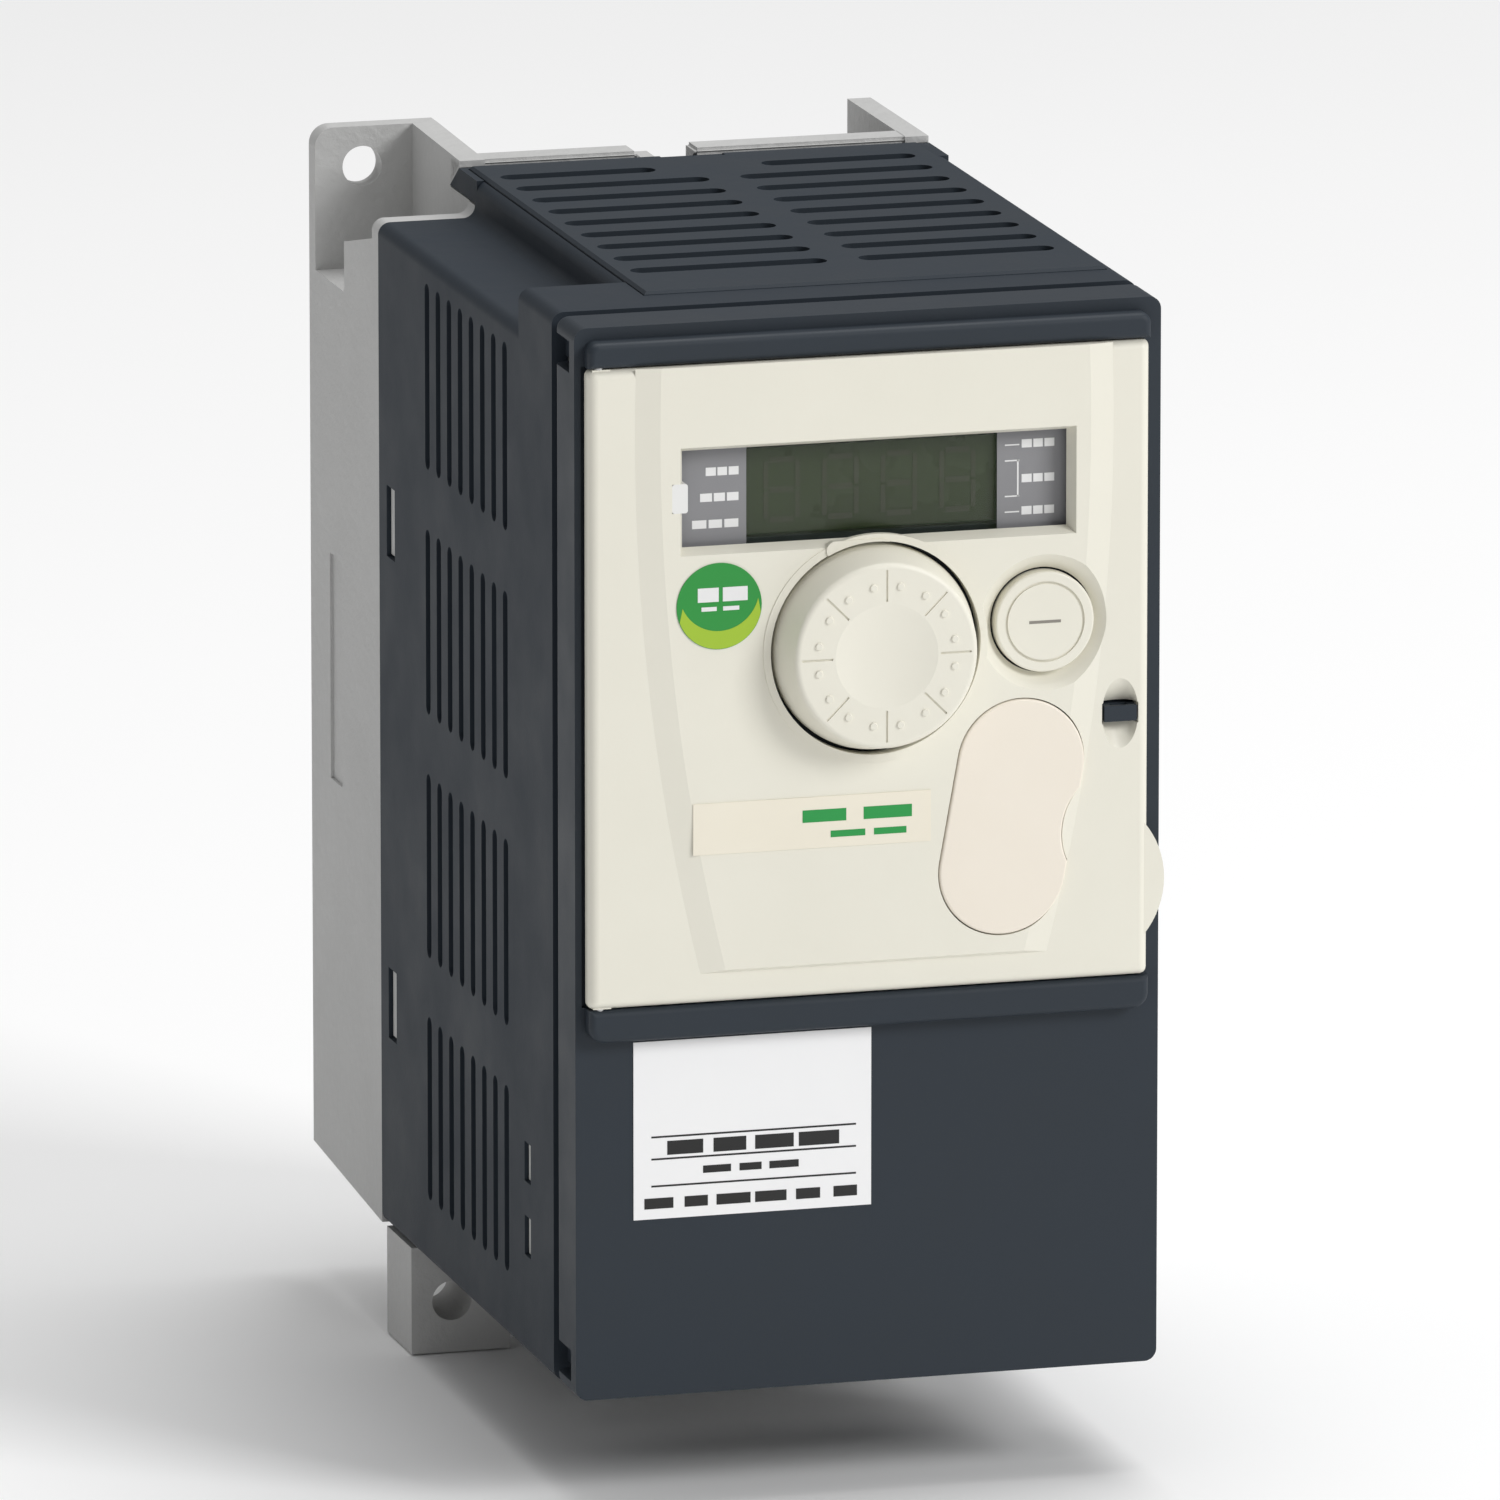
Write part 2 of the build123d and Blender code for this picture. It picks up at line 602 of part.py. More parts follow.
with BuildPart() as heat_sink:
    extrude(flange_outline, amount=-BASE_THICK)
    brick((LEFT, RIGHT), (REAR, OVERHANG_FOOT), (CEILING - SLIP_GAP, ROOF + OVERCUT), Mode.SUBTRACT)
    extrude(spigot_outline, amount=-SPIGOT_DEEP)
    brick((LEFT, RIGHT), (SPIGOT_FACE, REAR + OVERCUT), (CEILING - SLIP_GAP, ROOF), Mode.SUBTRACT)
    brick((LEFT, GUSSET_X), (FLANGE_REAR, BASE_REAR), (POCKET_FLOOR, ROOF), Mode.SUBTRACT)
    brick(
        (from_right(POCKET_WIDE), RIGHT),
        (FLANGE_REAR, BASE_REAR),
        (FLOOR, above(POCKET_HIGH)),
        Mode.SUBTRACT,
    )
    for piece in (left_wall, right_wall, gusset, lower_gusset, top_lip):
        add(piece)
    # gap in the lip for the cover's latch
    brick(
        (from_left(LIP_GAP_LEFT), from_left(LIP_GAP_LEFT + LIP_GAP_WIDE)),
        (OVERHANG_HEAD, OVERHANG_HEAD + LIP_THICK + 2 * SLIP_GAP),
        (CEILING - SLIP_GAP, LIP_TOP + OVERCUT),
        Mode.SUBTRACT,
    )
    # pocket floors
    brick((LEFT, GUSSET_X), (FLANGE_REAR, 0), (POCKET_FLOOR - GUSSET_FOOT, POCKET_FLOOR))
    brick(
        (from_right(POCKET_WIDE), RIGHT),
        (FLANGE_REAR, 0),
        (above(POCKET_HIGH), above(POCKET_HIGH) + GUSSET_FOOT),
    )
    # fins, every other one tall
    for index in range(FIN_COUNT):
        x = FIN_MIDDLE + (index - (FIN_COUNT - 1) / 2) * FIN_PITCH
        over_tab = x > from_right(POCKET_WIDE) - GUSSET_THICK - FIN_THICK
        low = above(POCKET_HIGH) if over_tab else above(FOOT_RISE)
        high = below(FIN_TOP) if index % 2 else below(FIN_TOP + FIN_SHORT)
        brick((x - FIN_THICK / 2, x + FIN_THICK / 2), (BASE_REAR - BITE, 0), (low, high))
    # fixing tabs
    with BuildSketch(upright(-TAB_THICK)) as tabs:
        slab((LEFT, GUSSET_X + GUSSET_THICK), (POCKET_FLOOR - GUSSET_FOOT, TAB_TOP))
        slab(
            (from_right(POCKET_WIDE) - GUSSET_THICK, RIGHT),
            (TAB_BOTTOM, above(POCKET_HIGH) + GUSSET_FOOT),
        )
        fillet(tabs.vertices().group_by(Axis.Y)[-1].sort_by(Axis.X)[0], TAB_CORNER)
        fillet(tabs.vertices().group_by(Axis.Y)[0].sort_by(Axis.X)[-1], TAB_CORNER)
        with Locations(
            (from_left(HOLE_INSET), below(UPPER_HOLE_DOWN)),
            (from_right(HOLE_INSET), above(LOWER_HOLE_UP)),
        ):
            Circle(HOLE_DIAMETER / 2, mode=Mode.SUBTRACT)
    extrude(amount=-TAB_THICK)
    # clip noses that snap into the housing's windows
    with BuildSketch(Plane.YZ.offset(from_left(NOSE_SHORT))):
        with Locations(*[(-CLIP_WINDOW_AHEAD, above(height)) for height in CLIP_HEIGHTS]):
            Rectangle(CLIP_WINDOW[0] - 2 * SLIP_GAP, CLIP_WINDOW[1] - 2 * SLIP_GAP)
    nose_long = WALL + 2 * SLIP_GAP
    extrude(amount=nose_long)
    with BuildSketch(Plane.YZ.offset(from_right(NOSE_SHORT))):
        with Locations(*[(-CLIP_WINDOW_AHEAD, above(height)) for height in CLIP_HEIGHTS]):
            Rectangle(CLIP_WINDOW[0] - 2 * SLIP_GAP, CLIP_WINDOW[1] - 2 * SLIP_GAP)
    extrude(amount=-nose_long)
    # lugs for a screening plate, each on a stem that passes through the housing's underside
    for mirror_side in (1, -1):
        outer = mirror_side * (LEFT + LUG_INSET)
        inner = mirror_side * (LEFT + LUG_INSET + LUG_WIDE)
        stem = mirror_side * (LEFT + WALL + 2 * SLIP_GAP)
        brick(
            (min(outer, inner), max(outer, inner)),
            (LUG_FRONT, -LUG_AHEAD),
            (above(-LUG_DROP), above(-SLIP_GAP)),
        )
        brick(
            (min(stem, inner), max(stem, inner)),
            (LUG_FRONT, -LUG_AHEAD),
            (above(-SLIP_GAP), above(LUG_STEM_UP)),
        )
    with BuildSketch(upright(LUG_FRONT)):
        with Locations(
            (from_left(LUG_HOLE_IN), above(-LUG_HOLE_DOWN)),
            (from_right(LUG_HOLE_IN), above(-LUG_HOLE_DOWN)),
        ):
            Circle(LUG_HOLE_DIAMETER / 2)
    extrude(amount=-LUG_THICK, mode=Mode.SUBTRACT)
    # shallow cast recess in the left wall
    recess_y, recess_z = -SIDE_RECESS_AT[0], above(SIDE_RECESS_AT[1])
    brick(
        (LEFT, LEFT + SIDE_RECESS[2]),
        (recess_y - SIDE_RECESS[0] / 2, recess_y + SIDE_RECESS[0] / 2),
        (recess_z - SIDE_RECESS[1] / 2, recess_z + SIDE_RECESS[1] / 2),
        Mode.SUBTRACT,
    )
    # tapped holes for the board screws, the module screws and the earth screws
    with BuildSketch(upright(SPIGOT_FACE)):
        with Locations(*POWER_SCREWS, *MODULE_SCREWS):
            Circle(SCREW_RADIUS)
        with Locations(*EARTH_SCREWS):
            Circle(EARTH_RADIUS)
    extrude(amount=-TAPPED_DEEP, mode=Mode.SUBTRACT)
put(heat_sink.part, "heat_sink")

# ================================================================ housing
OVERHANG_SIDE = [
    (REAR - BITE, CEILING),
    (OVERHANG_FOOT, CEILING),
    (OVERHANG_HEAD, ROOF),
    (REAR - BITE, ROOF),
]
overhang = side_polygon(OVERHANG_SIDE, from_left(NOTCH_WIDE), RIGHT)
VENT_REAR = -VENT_REAR_AHEAD
block_outline = shell_outline(behind(SEAM_DEPTH), 0, False, CORNER)
skirt_outline = shell_outline(behind(NOTCH_START), 0, True, CORNER)
block_hollow = shell_outline(behind(SEAM_DEPTH), WALL, False, CORNER / 2)
skirt_hollow = shell_outline(behind(NOTCH_START) - WALL, WALL, True, CORNER / 2)

with BuildPart() as housing:
    extrude(block_outline, amount=SEAM_DEPTH - NOTCH_START)
    extrude(skirt_outline, amount=behind(NOTCH_START) - REAR)
    add(overhang)
    extrude(block_hollow, amount=SEAM_DEPTH - NOTCH_START + WALL, mode=Mode.SUBTRACT)
    extrude(skirt_hollow, amount=behind(NOTCH_START) - WALL - REAR, mode=Mode.SUBTRACT)
    # thick roof that carries the ventilation cover
    brick(
        (from_left(NOTCH_WIDE), from_right(WALL)),
        (behind(NOTCH_START) - WALL, REAR),
        (CEILING, ROOF - WALL),
    )
    brick(
        (from_left(VENT_LEFT), from_right(VENT_RIGHT)),
        (behind(VENT_FRONT), VENT_REAR),
        (ROOF + VENT_PROUD - VENT_THICK, ROOF + OVERCUT),
        Mode.SUBTRACT,
    )
    brick(
        (from_left(VENT_LEFT + VENT_LEDGE), from_right(VENT_RIGHT + VENT_LEDGE)),
        (behind(VENT_FRONT + VENT_LEDGE), REAR - VENT_LEDGE),
        (CEILING - OVERCUT, ROOF + OVERCUT),
        Mode.SUBTRACT,
    )
    # side louvres, clip windows and catch windows, alike in both walls
    with BuildSketch(Plane.YZ.offset(LEFT - OVERCUT)):
        with Locations((behind(LOUVRE_MIDDLE_BEHIND), above(LOUVRE_MIDDLE_UP))):
            with GridLocations(LOUVRE_PITCH, LOUVRE_GROUP_PITCH, LOUVRE_COUNT, LOUVRE_GROUPS):
                SlotOverall(LOUVRE_LONG, LOUVRE_WIDE, rotation=90)
        with Locations(*[(-CLIP_WINDOW_AHEAD, above(height)) for height in CLIP_HEIGHTS]):
            Rectangle(*CLIP_WINDOW)
        with Locations(*[(behind(CATCH_BEHIND), above(height)) for height in CATCH_HEIGHTS]):
            Rectangle(*CATCH_WINDOW)
    extrude(amount=WIDTH + 2 * OVERCUT, mode=Mode.SUBTRACT)
    # cable openings in the underside
    for entry in (POWER_ENTRY, CONTROL_ENTRY):
        brick(
            (from_left(ENTRY_INSET), from_right(ENTRY_INSET)),
            (behind(entry[0]), behind(entry[1])),
            (FLOOR - OVERCUT, FLOOR + WALL + OVERCUT),
            Mode.SUBTRACT,
        )
    # openings around the lug stems
    for x in (
        (from_left(WALL + SLIP_GAP), from_left(LUG_INSET + LUG_WIDE + SLIP_GAP)),
        (from_right(LUG_INSET + LUG_WIDE + SLIP_GAP), from_right(WALL + SLIP_GAP)),
    ):
        brick(
            x,
            (LUG_FRONT - SLIP_GAP, REAR),
            (FLOOR - OVERCUT, FLOOR + NOTCH_HIGH + WALL + OVERCUT),
            Mode.SUBTRACT,
        )
    # ears that carry the door's hinge pins
    for low in (ROOF - EAR_END - EAR_HIGH, FLOOR + EAR_END):
        with BuildSketch(Plane.XY.offset(low)):
            with Locations((from_left(HINGE_IN), behind(HINGE_BEHIND))):
                Circle(EAR_RADIUS)
            slab(
                (from_left(HINGE_IN - EAR_RADIUS), from_left(HINGE_IN + EAR_RADIUS)),
                (behind(HINGE_BEHIND), behind(SEAM_DEPTH + WALL)),
            )
            slab(
                (from_left(WALL / 2), from_left(HINGE_IN + EAR_RADIUS)),
                (behind(SEAM_DEPTH), behind(SEAM_DEPTH + 2 * WALL)),
            )
            with Locations((from_left(HINGE_IN), behind(HINGE_BEHIND))):
                Circle(HINGE_PIN_RADIUS + RUNNING_GAP, mode=Mode.SUBTRACT)
        extrude(amount=EAR_HIGH)
    # catch that the door's latch tongue slides past
    brick(
        (from_right(WALL + CATCH[0]), from_right(WALL)),
        (behind(SEAM_DEPTH + CATCH[1]), behind(SEAM_DEPTH + CATCH[2])),
        (above(CATCH[3]), above(CATCH[4])),
    )
put(housing.part, "housing")

# ================================================================ top ventilation cover
with BuildPart() as vent_cover:
    brick(
        (from_left(VENT_LEFT + FIT_GAP), from_right(VENT_RIGHT + FIT_GAP)),
        (behind(VENT_FRONT + FIT_GAP), VENT_REAR - FIT_GAP),
        (ROOF + VENT_PROUD - VENT_THICK, ROOF + VENT_PROUD),
    )
    chamfer(vent_cover.faces().sort_by(Axis.Z)[-1].edges(), VENT_EDGE)
    slot_left = from_left(VENT_LEFT + VENT_MARGIN)
    slot_right = from_right(VENT_RIGHT + VENT_MARGIN + VENT_RIM)
    spine = (slot_left + slot_right) / 2
    with BuildSketch(Plane.XY.offset(ROOF + VENT_PROUD)):
        for row in range(VENT_ROWS):
            row_y = behind(VENT_FIRST_ROW + row * VENT_SLOT_PITCH)
            inset = VENT_SPINE / 2 if row < VENT_ROWS - 1 else VENT_LATCH_WIDE / 2
            for low, high in ((slot_left, spine - inset), (spine + inset, slot_right)):
                with Locations(((low + high) / 2, row_y)):
                    SlotOverall(high - low, VENT_SLOT_WIDE)
    extrude(amount=-VENT_THICK, mode=Mode.SUBTRACT)
    # finger notch over the latch
    brick(
        (spine - VENT_SPINE, spine + VENT_SPINE),
        (VENT_REAR - FIT_GAP - VENT_NOTCH[0], VENT_REAR),
        (ROOF + VENT_PROUD - VENT_NOTCH[1], ROOF + OVERCUT),
        Mode.SUBTRACT,
    )
    # skirts that grip the roof opening
    skirt_near, skirt_far = VENT_LEDGE + FIT_GAP, VENT_LEDGE + VENT_SKIRT[0]
    for side in (
        (from_left(VENT_LEFT + skirt_near), from_left(VENT_LEFT + skirt_far)),
        (from_right(VENT_RIGHT + skirt_far), from_right(VENT_RIGHT + skirt_near)),
    ):
        brick(
            side,
            (behind(VENT_SKIRT[1]), behind(VENT_SKIRT[2])),
            (CEILING - VENT_SKIRT_DOWN, ROOF + VENT_PROUD - VENT_THICK),
        )
put(vent_cover.part, "vent_cover")

# ================================================================ front door
BAND_X = (from_left(BAND_LEFT), from_right(BAND_RIGHT))
AXIS_X = from_left(HINGE_IN)
AXIS_Y = behind(HINGE_BEHIND)
COVER_AXIS_X = from_left(COVER_AXIS_IN)
COVER_AXIS_Y = FACE - COVER_AXIS_PROUD
COVER_Z = (below(COVER_TOP + COVER_HIGH), below(COVER_TOP))
DIAL_X = from_left(DIAL_IN)
DIAL_Z = below(DIAL_DOWN)
DISPLAY_X = from_left(DISPLAY_IN)
DISPLAY_Z = below(DISPLAY_DOWN)
KEYS = {"esc_key": ESC_AT, "mode_key": MODE_AT, "stop_key": STOP_AT, "run_key": RUN_AT}
SEAL_X = from_right(SEAL_AT[0])
SEAL_Z = below(SEAL_AT[1])
BOSS_AT = [(x, below(down)) for x in (from_left(BOSS_IN), from_right(BOSS_IN)) for down in BOSS_DOWN]


def key_place(name):
    return (from_left(KEYS[name][0]), below(KEYS[name][1]))


with BuildPart() as front_door:
    with BuildSketch(upright(FACE)) as door_outline:
        slab((LEFT, RIGHT), (FLOOR, ROOF))
        fillet(door_outline.vertices(), CORNER)
    extrude(amount=-DOOR_DEEP)
    with BuildSketch(upright(FACE)) as bands:
        for down in (CAP_FROM_TOP, LIP_FROM_TOP):
            slab(BAND_X, (below(down[1]), below(down[0])))
        fillet(bands.vertices().group_by(Axis.Y)[0], BAND_ROUND[0])
        fillet(bands.vertices().group_by(Axis.Y)[-1], BAND_ROUND[1])
    extrude(amount=BAND_PROUD)
    fillet(front_door.faces().filter_by(Axis.Y).sort_by(Axis.Y)[:2].edges(), BAND_ROUND[2])
    # hollow rear
    brick(
        (from_left(DOOR_WALL), from_right(DOOR_WALL)),
        (behind(DOOR_SKIN), behind(DOOR_DEEP)),
        (FLOOR + DOOR_WALL, ROOF - DOOR_WALL),
        Mode.SUBTRACT,
    )
    # round heel beside the hinge, so that the door clears the housing as it swings
    fillet(front_door.edges().filter_by(Axis.Z).group_by(Axis.X)[0].sort_by(Axis.Y)[-1], DOOR_HEEL)
    for low in (ROOF - EAR_END - EAR_NOTCH, FLOOR + EAR_END - (EAR_NOTCH - EAR_HIGH)):
        brick(
            (LEFT - OVERCUT, from_left(DOOR_WALL)),
            (behind(DOOR_SKIN), behind(DOOR_DEEP)),
            (low, low + EAR_NOTCH + (EAR_NOTCH - EAR_HIGH)),
            Mode.SUBTRACT,
        )
    # channel that the operator cover's rear edge turns in
    brick(
        (from_left(COVER_CHANNEL[0]), from_left(COVER_CHANNEL[1])),
        (FACE, FACE + COVER_CHANNEL[2]),
        (COVER_Z[0] - FIT_GAP, COVER_Z[1] + FIT_GAP),
        Mode.SUBTRACT,
    )
    # seat and opening of the display window
    with BuildSketch(upright(FACE)):
        with Locations((DISPLAY_X, DISPLAY_Z)):
            Rectangle(*LENS)
    extrude(amount=-LENS_THICK, mode=Mode.SUBTRACT)
    with BuildSketch(upright(FACE)):
        with Locations((DISPLAY_X, DISPLAY_Z)):
            Rectangle(LENS[0] - 2 * LENS_SEAT, LENS[1] - 2 * LENS_SEAT)
    extrude(amount=-DOOR_SKIN, mode=Mode.SUBTRACT)
    # holes for the encoder's bush, the keys and the door's board screws
    with BuildSketch(upright(FACE)):
        with Locations((DIAL_X, DIAL_Z)):
            Circle(BUSH_RADIUS + FIT_GAP)
        with Locations(*[key_place(name) for name in KEYS]):
            Circle(KEY_STEM_RADIUS + KEY_GAP)
    extrude(amount=-DOOR_SKIN, mode=Mode.SUBTRACT)
    # recesses that the low keys sink into
    with BuildSketch(upright(FACE)):
        with Locations(*[key_place(name) for name in KEYS if name != "esc_key"]):
            Circle(LOW_KEY_RADIUS + KEY_GAP)
    extrude(amount=-KEY_TRAVEL - FIT_GAP, mode=Mode.SUBTRACT)
    with BuildSketch(upright(behind(HMI_BEHIND))):
        with Locations(*BOSS_AT):
            Circle(BOSS_RADIUS)
            Circle(BOSS_HOLE_RADIUS, mode=Mode.SUBTRACT)
    extrude(amount=HMI_BEHIND - DOOR_SKIN)
    # blocks that hold the door's hinge pins, above and below the housing's ears
    for low, high in (
        (ROOF - EAR_END + FIT_GAP, ROOF - DOOR_WALL),
        (FLOOR + DOOR_WALL, FLOOR + EAR_END - FIT_GAP),
    ):
        brick(
            (from_left(DOOR_WALL), AXIS_X + HINGE_BLOCK),
            (behind(DOOR_SKIN), AXIS_Y + HINGE_BLOCK),
            (low, high),
        )
    with BuildSketch(Plane.XY.offset(FLOOR + PIN_END)):
        with Locations((AXIS_X, AXIS_Y)):
            Circle(HINGE_PIN_RADIUS)
    extrude(amount=HEIGHT - 2 * PIN_END, mode=Mode.SUBTRACT)
    # bores for the operator cover's pins
    with BuildSketch(Plane.XY.offset(COVER_Z[0] - COVER_PIN_REACH - FIT_GAP)):
        with Locations((COVER_AXIS_X, COVER_AXIS_Y)):
            Circle(COVER_PIN_RADIUS + RUNNING_GAP)
    extrude(amount=COVER_HIGH + 2 * (COVER_PIN_REACH + FIT_GAP), mode=Mode.SUBTRACT)
    # eye for a sealing wire
    brick(
        (SEAL_X - SEAL_EYE[0] / 2, SEAL_X + SEAL_EYE[0] / 2),
        (FACE - SEAL_EYE[2], FACE),
        (SEAL_Z - SEAL_EYE[1] / 2, SEAL_Z + SEAL_EYE[1] / 2),
    )
    brick(
        (SEAL_X - SEAL_WIRE[0] / 2, SEAL_X + SEAL_WIRE[0] / 2),
        (FACE - 2 * SEAL_WIRE[1], FACE - SEAL_WIRE[1]),
        (SEAL_Z - SEAL_EYE[1], SEAL_Z + SEAL_EYE[1]),
        Mode.SUBTRACT,
    )
    # latch tongue that reaches past the housing's catch
    brick(
        (from_right(WALL + LATCH_AT[1]), from_right(WALL + LATCH_AT[0])),
        (behind(DOOR_SKIN), behind(SEAM_DEPTH + LATCH_REACH)),
        (above(LATCH_UP), above(LATCH_UP + LATCH_WIDE)),
    )
put(front_door.part, "front_door")

with BuildPart() as door_hinge_pins:
    for low, high in (
        (ROOF - EAR_END - EAR_HIGH, ROOF - PIN_END),
        (FLOOR + PIN_END, FLOOR + EAR_END + EAR_HIGH),
    ):
        with BuildSketch(Plane.XY.offset(low)):
            with Locations((AXIS_X, AXIS_Y)):
                Circle(HINGE_PIN_RADIUS)
        extrude(amount=high - low)
put(door_hinge_pins.part, "door_hinge_pins")

# ================================================================ operator cover
COVER_X = (from_left(COVER_LEFT), from_right(COVER_RIGHT))
COVER_FACE = FACE - COVER_PROUD
PILLOW_FACE = COVER_FACE - PILLOW_RISE
TAB_Z = below(FINGER_TAB_DOWN)
PIPE_X = (from_left(PIPE_IN[0]), from_left(PIPE_IN[1]))
PIPE_Z = (below(PIPE_DOWN[1]), below(PIPE_DOWN[0]))


def pillow_outline(y, inset, drop):
    """The raised centre of the cover: wide at the top, narrower at the foot."""
    top, foot = COVER_Z[1], COVER_Z[0] + PILLOW_UP + drop
    heights = (top, (top + foot) / 2 - PILLOW_BELLY, foot)
    with BuildSketch(upright(y)) as outline:
        with BuildLine():
            left = ThreePointArc(*[(from_left(x + inset), z) for x, z in zip(PILLOW_LEFT, heights)])
            right = ThreePointArc(*[(from_right(x + inset), z) for x, z in zip(PILLOW_RIGHT, heights)])
            Line(left @ 0, right @ 0)
            Line(left @ 1, right @ 1)
        make_face()
    return outline.sketch


def blank_outline(y, grow):
    """Kidney shape over the two motor keys, grown or shrunk all round."""
    x1, z1 = key_place("stop_key")
    x2, z2 = key_place("run_key")
    along = Vector(x1, z1) - Vector(x2, z2)
    half = along.length / 2
    unit = along.normalized()
    reach = ((BLANK_RADIUS + BLANK_WAIST_RADIUS) ** 2 - half**2) ** 0.5
    middle = (Vector(x1, z1) + Vector(x2, z2)) * 0.5
    with BuildSketch(upright(y)) as outline:
        with Locations((x1, z1), (x2, z2)):
            Circle(BLANK_RADIUS + grow)
        make_hull()
        with Locations((middle.X + reach * unit.Y, middle.Y - reach * unit.X)):
            Circle(BLANK_WAIST_RADIUS - grow, mode=Mode.SUBTRACT)
    return outline.sketch


pillow_foot = pillow_outline(COVER_FACE + HAIR, 0, 0)
pillow_head = pillow_outline(PILLOW_FACE, *PILLOW_SLOPE)
pillow = loft([pillow_foot, pillow_head], ruled=True)

with BuildPart() as hmi_cover:
    with BuildSketch(upright(FACE - COVER_REAR)) as cover_outline:
        slab(COVER_X, COVER_Z)
        fillet(cover_outline.vertices(), COVER_CORNER)
    extrude(amount=COVER_PROUD - COVER_REAR)
    fillet(hmi_cover.faces().sort_by(Axis.Y)[0].edges(), COVER_EDGE)
    # finger tab on the free edge
    tab_radius = ((FINGER_TAB_HIGH / 2) ** 2 + FINGER_TAB_OUT**2) / (2 * FINGER_TAB_OUT)
    with BuildSketch(upright(COVER_FACE + FINGER_TAB[1])):
        with Locations((COVER_X[1] + FINGER_TAB_OUT - tab_radius, TAB_Z)):
            Circle(tab_radius)
        slab((LEFT, COVER_X[1] - BITE), (FLOOR, ROOF), Mode.SUBTRACT)
    extrude(amount=FINGER_TAB[1] - FINGER_TAB[0])
    add(pillow)
    # thin skin, open at the rear
    brick(
        (COVER_X[0] + COVER_SKIN, COVER_X[1] - COVER_SKIN),
        (COVER_FACE + COVER_SKIN, FACE),
        (COVER_Z[0] + COVER_SKIN, COVER_Z[1] - COVER_SKIN),
        Mode.SUBTRACT,
    )
    brick(
        (LEFT, from_left(COVER_RELIEF[0])),
        (FACE - COVER_RELIEF[1], FACE),
        (FLOOR, ROOF),
        Mode.SUBTRACT,
    )
    # display opening with bevelled edges
    with BuildSketch(upright(PILLOW_FACE)):
        with Locations((DISPLAY_X, DISPLAY_Z)):
            Rectangle(WINDOW[0] + 2 * WINDOW_BEVEL, WINDOW[1] + 2 * WINDOW_BEVEL)
    with BuildSketch(upright(COVER_FACE + COVER_SKIN)):
        with Locations((DISPLAY_X, DISPLAY_Z)):
            Rectangle(*WINDOW)
    loft(mode=Mode.SUBTRACT)
    # rounded hood over the opening's lower edge, and a raised pointer beside the dial
    with BuildSketch(upright(PILLOW_FACE + PILLOW_RISE)):
        with Locations((from_left(HOOD[0]), above(HOOD[1]))):
            SlotOverall(HOOD[2], HOOD[3])
    extrude(amount=PILLOW_RISE + HOOD[4])
    brick(
        (from_left(POINTER[0]), from_left(POINTER[1])),
        (PILLOW_FACE - POINTER[4], PILLOW_FACE),
        (above(POINTER[2]), above(POINTER[3])),
    )
    # seat of the light pipe, open to the display opening
    brick(PIPE_X, (PILLOW_FACE - OVERCUT, FACE), PIPE_Z, Mode.SUBTRACT)
    # dished seat of the escape key
    with BuildSketch(upright(PILLOW_FACE - HAIR)):
        with Locations(key_place("esc_key")):
            Circle(ESC_DISH_RADIUS)
    with BuildSketch(upright(COVER_FACE + COVER_SKIN)):
        with Locations(key_place("esc_key")):
            Circle(ESC_RADIUS + KEY_GAP)
    loft(mode=Mode.SUBTRACT)
    # low collar round the dial
    with BuildSketch(upright(COVER_FACE)):
        with Locations((DIAL_X, DIAL_Z)):
            Circle(DIAL_BASE_RADIUS + DIAL_HOLE_GAP + COLLAR_WIDE)
    extrude(amount=PILLOW_RISE + COLLAR_PROUD)
    with BuildSketch(upright(FACE)):
        with Locations((DIAL_X, DIAL_Z)):
            Circle(DIAL_BASE_RADIUS + DIAL_HOLE_GAP)
    extrude(amount=COVER_PROUD + PILLOW_RISE + OVERCUT, mode=Mode.SUBTRACT)
    # oval pocket round the sealing eye
    with BuildSketch(upright(FACE - SLIP_GAP)):
        with Locations((SEAL_X, SEAL_Z)):
            Ellipse(SEAL_POCKET[0] / 2 + SEAL_RIM[0], SEAL_POCKET[1] / 2 + SEAL_RIM[0])
    extrude(amount=COVER_PROUD - SLIP_GAP - SEAL_RIM[1])
    with BuildSketch(upright(PILLOW_FACE - HAIR)):
        with Locations((SEAL_X, SEAL_Z)):
            Ellipse(SEAL_POCKET[0] / 2, SEAL_POCKET[1] / 2)
    with BuildSketch(upright(FACE - 2 * SLIP_GAP)):
        with Locations((SEAL_X, SEAL_Z)):
            Ellipse(SEAL_POCKET[0] / 2 - SEAL_RIM[2], SEAL_SLOT[1] / 2)
    loft(mode=Mode.SUBTRACT)
    with BuildSketch(upright(FACE)):
        with Locations((SEAL_X, SEAL_Z)):
            Rectangle(*SEAL_SLOT)
    extrude(amount=COVER_PROUD + PILLOW_RISE + OVERCUT, mode=Mode.SUBTRACT)
    extrude(blank_outline(FACE, FIT_GAP), amount=COVER_PROUD + PILLOW_RISE + OVERCUT, mode=Mode.SUBTRACT)
    # bosses for the cover's pins
    for low in (COVER_Z[0], COVER_Z[1] - COVER_PIN_IN):
        brick(
            (COVER_X[0] + COVER_PIN_WALL[0], COVER_AXIS_X + COVER_PIN_WALL[1]),
            (COVER_FACE + COVER_PIN_WALL[0], FACE - COVER_RELIEF[1]),
            (low, low + COVER_PIN_IN),
        )
    for low, inward in ((COVER_Z[0], COVER_PIN_IN), (COVER_Z[1], -COVER_PIN_IN)):
        with BuildSketch(Plane.XY.offset(low)):
            with Locations((COVER_AXIS_X, COVER_AXIS_Y)):
                Circle(COVER_PIN_RADIUS)
        extrude(amount=inward, mode=Mode.SUBTRACT)
put(hmi_cover.part, "hmi_cover")

